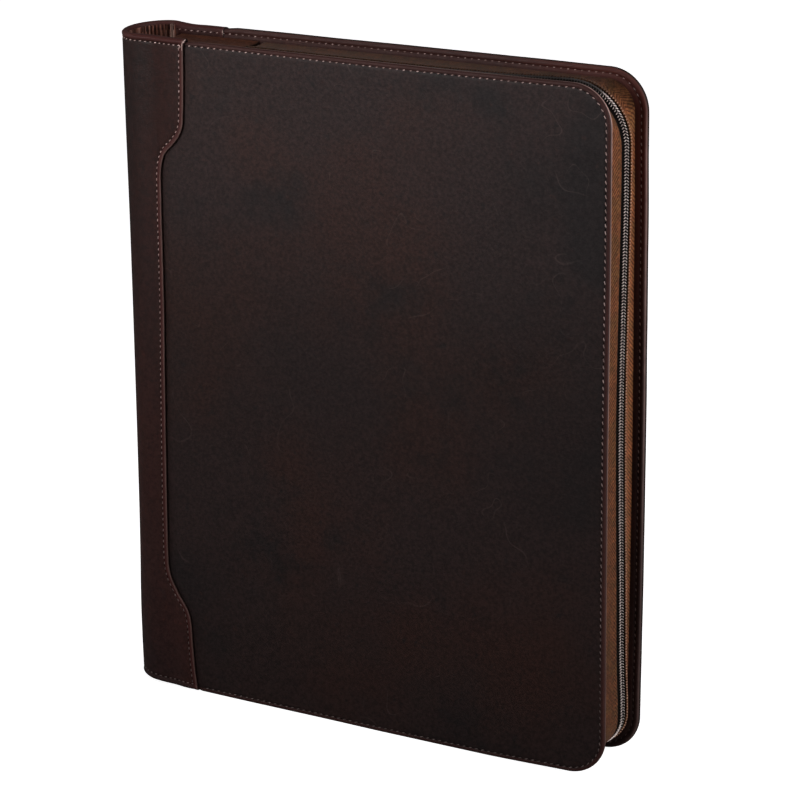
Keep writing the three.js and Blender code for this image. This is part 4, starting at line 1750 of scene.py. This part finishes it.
@dataclass
class Studio:
    """Camera, floor and lights."""

    eye: Vector = field(default_factory=lambda: Vector((790.49, -1326.97, 648.59)) * MM)
    azimuth: float = math.radians(30.2886)
    elevation: float = math.radians(17.3118)
    roll: float = math.radians(-0.5525)
    lens_mm: float = 147.047
    sensor_mm: float = 36.0
    floor_size: float = 6.0
    paper: Colour = (0.93, 0.93, 0.93)
    bounce: Colour = (0.22, 0.22, 0.22)
    floor_glow: float = 0.85
    room_light: float = 0.12

    def build_camera(self) -> None:
        """The camera that took the photograph, fitted to the case's outline."""
        Workpiece.clear()
        bpy.ops.object.camera_add()
        camera = bpy.context.active_object
        camera.name = "photo_camera"
        camera.data.lens = self.lens_mm
        camera.data.sensor_width = self.sensor_mm
        camera.data.clip_end = 20
        right = Vector((math.cos(self.azimuth), math.sin(self.azimuth), 0))
        level = math.cos(self.elevation)
        level_back = Vector((math.sin(self.azimuth), -math.cos(self.azimuth), 0))
        back = level_back * level + Vector((0, 0, math.sin(self.elevation)))
        up = back.cross(right)
        side = right * math.cos(self.roll) + up * math.sin(self.roll)
        over = up * math.cos(self.roll) - right * math.sin(self.roll)
        turn = Matrix((side, over, back)).transposed()
        camera.matrix_world = Matrix.Translation(self.eye) @ turn.to_4x4()
        bpy.context.scene.camera = camera

    def build_floor(self) -> None:
        """A plain pale floor."""
        Workpiece.clear()
        bpy.ops.mesh.primitive_plane_add(size=self.floor_size)
        floor = Workpiece("floor")
        bench = NodeBench("pale floor")
        bench.set(Roughness=0.9, Specular_IOR_Level=0.1)
        path = bench.nodes.new("ShaderNodeLightPath")
        tone = bench.mix(path.outputs["Is Camera Ray"], self.bounce, self.paper)
        bench.to_shader("Base Color", tone)
        bench.set(Emission_Color=(1, 1, 1, 1))
        glow = bench.maths("MULTIPLY", path.outputs["Is Camera Ray"], self.floor_glow)
        bench.to_shader("Emission Strength", glow)
        floor.body.data.materials.append(bench.material)
        floor.body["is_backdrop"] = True

    def light(self, name: str, place: Triple, size: float, power: float, aim: Triple = (0, 0, 0.17),
              spread: float = 180) -> None:
        """Adds one soft square light.

        Args:
            name: Its name.
            place: Where it stands.
            size: Length of its sides.
            power: Its power in watts.
            aim: The point that it faces.
            spread: Angle in degrees that its light keeps to.
        """
        Workpiece.clear()
        bpy.ops.object.light_add(type="AREA", location=place)
        lamp = bpy.context.active_object
        lamp.name = name
        lamp.data.size = size
        lamp.data.energy = power
        lamp.data.spread = math.radians(spread)
        lamp.rotation_euler = (Vector(aim) - Vector(place)).to_track_quat("-Z", "Y").to_euler()

    def build_lights(self) -> None:
        """Soft light from the front, from both sides and from above, in an even pale room."""
        self.light("key softbox", (-0.25, -0.80, 0.52), 0.45, 0.85, (-0.06, 0, 0.40), 60)
        self.light("zip side softbox", (1.5, 0.15, 0.42), 0.9, 22)
        self.light("spine side softbox", (-1.3, -0.5, 0.5), 0.8, 3)
        Workpiece.clear()
        bpy.ops.object.light_add(type="SUN", rotation=(0.25, 0.2, 0))
        sky = bpy.context.active_object
        sky.name = "even top light"
        sky.data.energy = 0.3
        sky.data.angle = math.radians(60)
        world = bpy.data.worlds.new("pale room")
        bpy.context.scene.world = world
        world.use_nodes = True
        nodes, links = world.node_tree.nodes, world.node_tree.links
        room = nodes["Background"]
        room.inputs["Color"].default_value = (1, 1, 1, 1)
        path = nodes.new("ShaderNodeLightPath")
        glow = nodes.new("ShaderNodeMapRange")
        glow.inputs["To Min"].default_value = self.room_light
        glow.inputs["To Max"].default_value = 1.0
        links.new(path.outputs["Is Camera Ray"], glow.inputs["Value"])
        links.new(glow.outputs["Result"], room.inputs["Strength"])
        bpy.context.scene.view_settings.view_transform = "Standard"


def write_sizes() -> None:
    """Puts the CAD box and the dressed model's box side by side."""
    boxes = {"cad": CAD_BOX, "visual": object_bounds()}
    plain = {name: [list(low), list(high)] for name, (low, high) in boxes.items()}


def main() -> None:
    """Builds the studio, then the case piece by piece."""
    logging.basicConfig(level=logging.INFO, format="%(message)s")
    studio = Studio()
    studio.build_camera()
    finishes = Finishes()
    rows = StitchRows(finishes)
    strip = SpineStrip(finishes)
    for side in Side:
        cover = Cover(side, finishes)
        cover.build()
        cover.stitch(rows)
        rows.build(f"{side.label}_cover")
    strip.build()
    strip.stitch(rows)
    rows.build("spine")
    SpineLining(finishes).build()
    for upper in (True, False):
        GussetEnd(upper, finishes).build()
    for side in Side:
        ZipTape(side, finishes).build()
    ZipChain(finishes).build()
    ZipSlider(finishes).build()
    studio.build_floor()
    studio.build_lights()
    write_sizes()


if __name__ == "__main__":
    main()
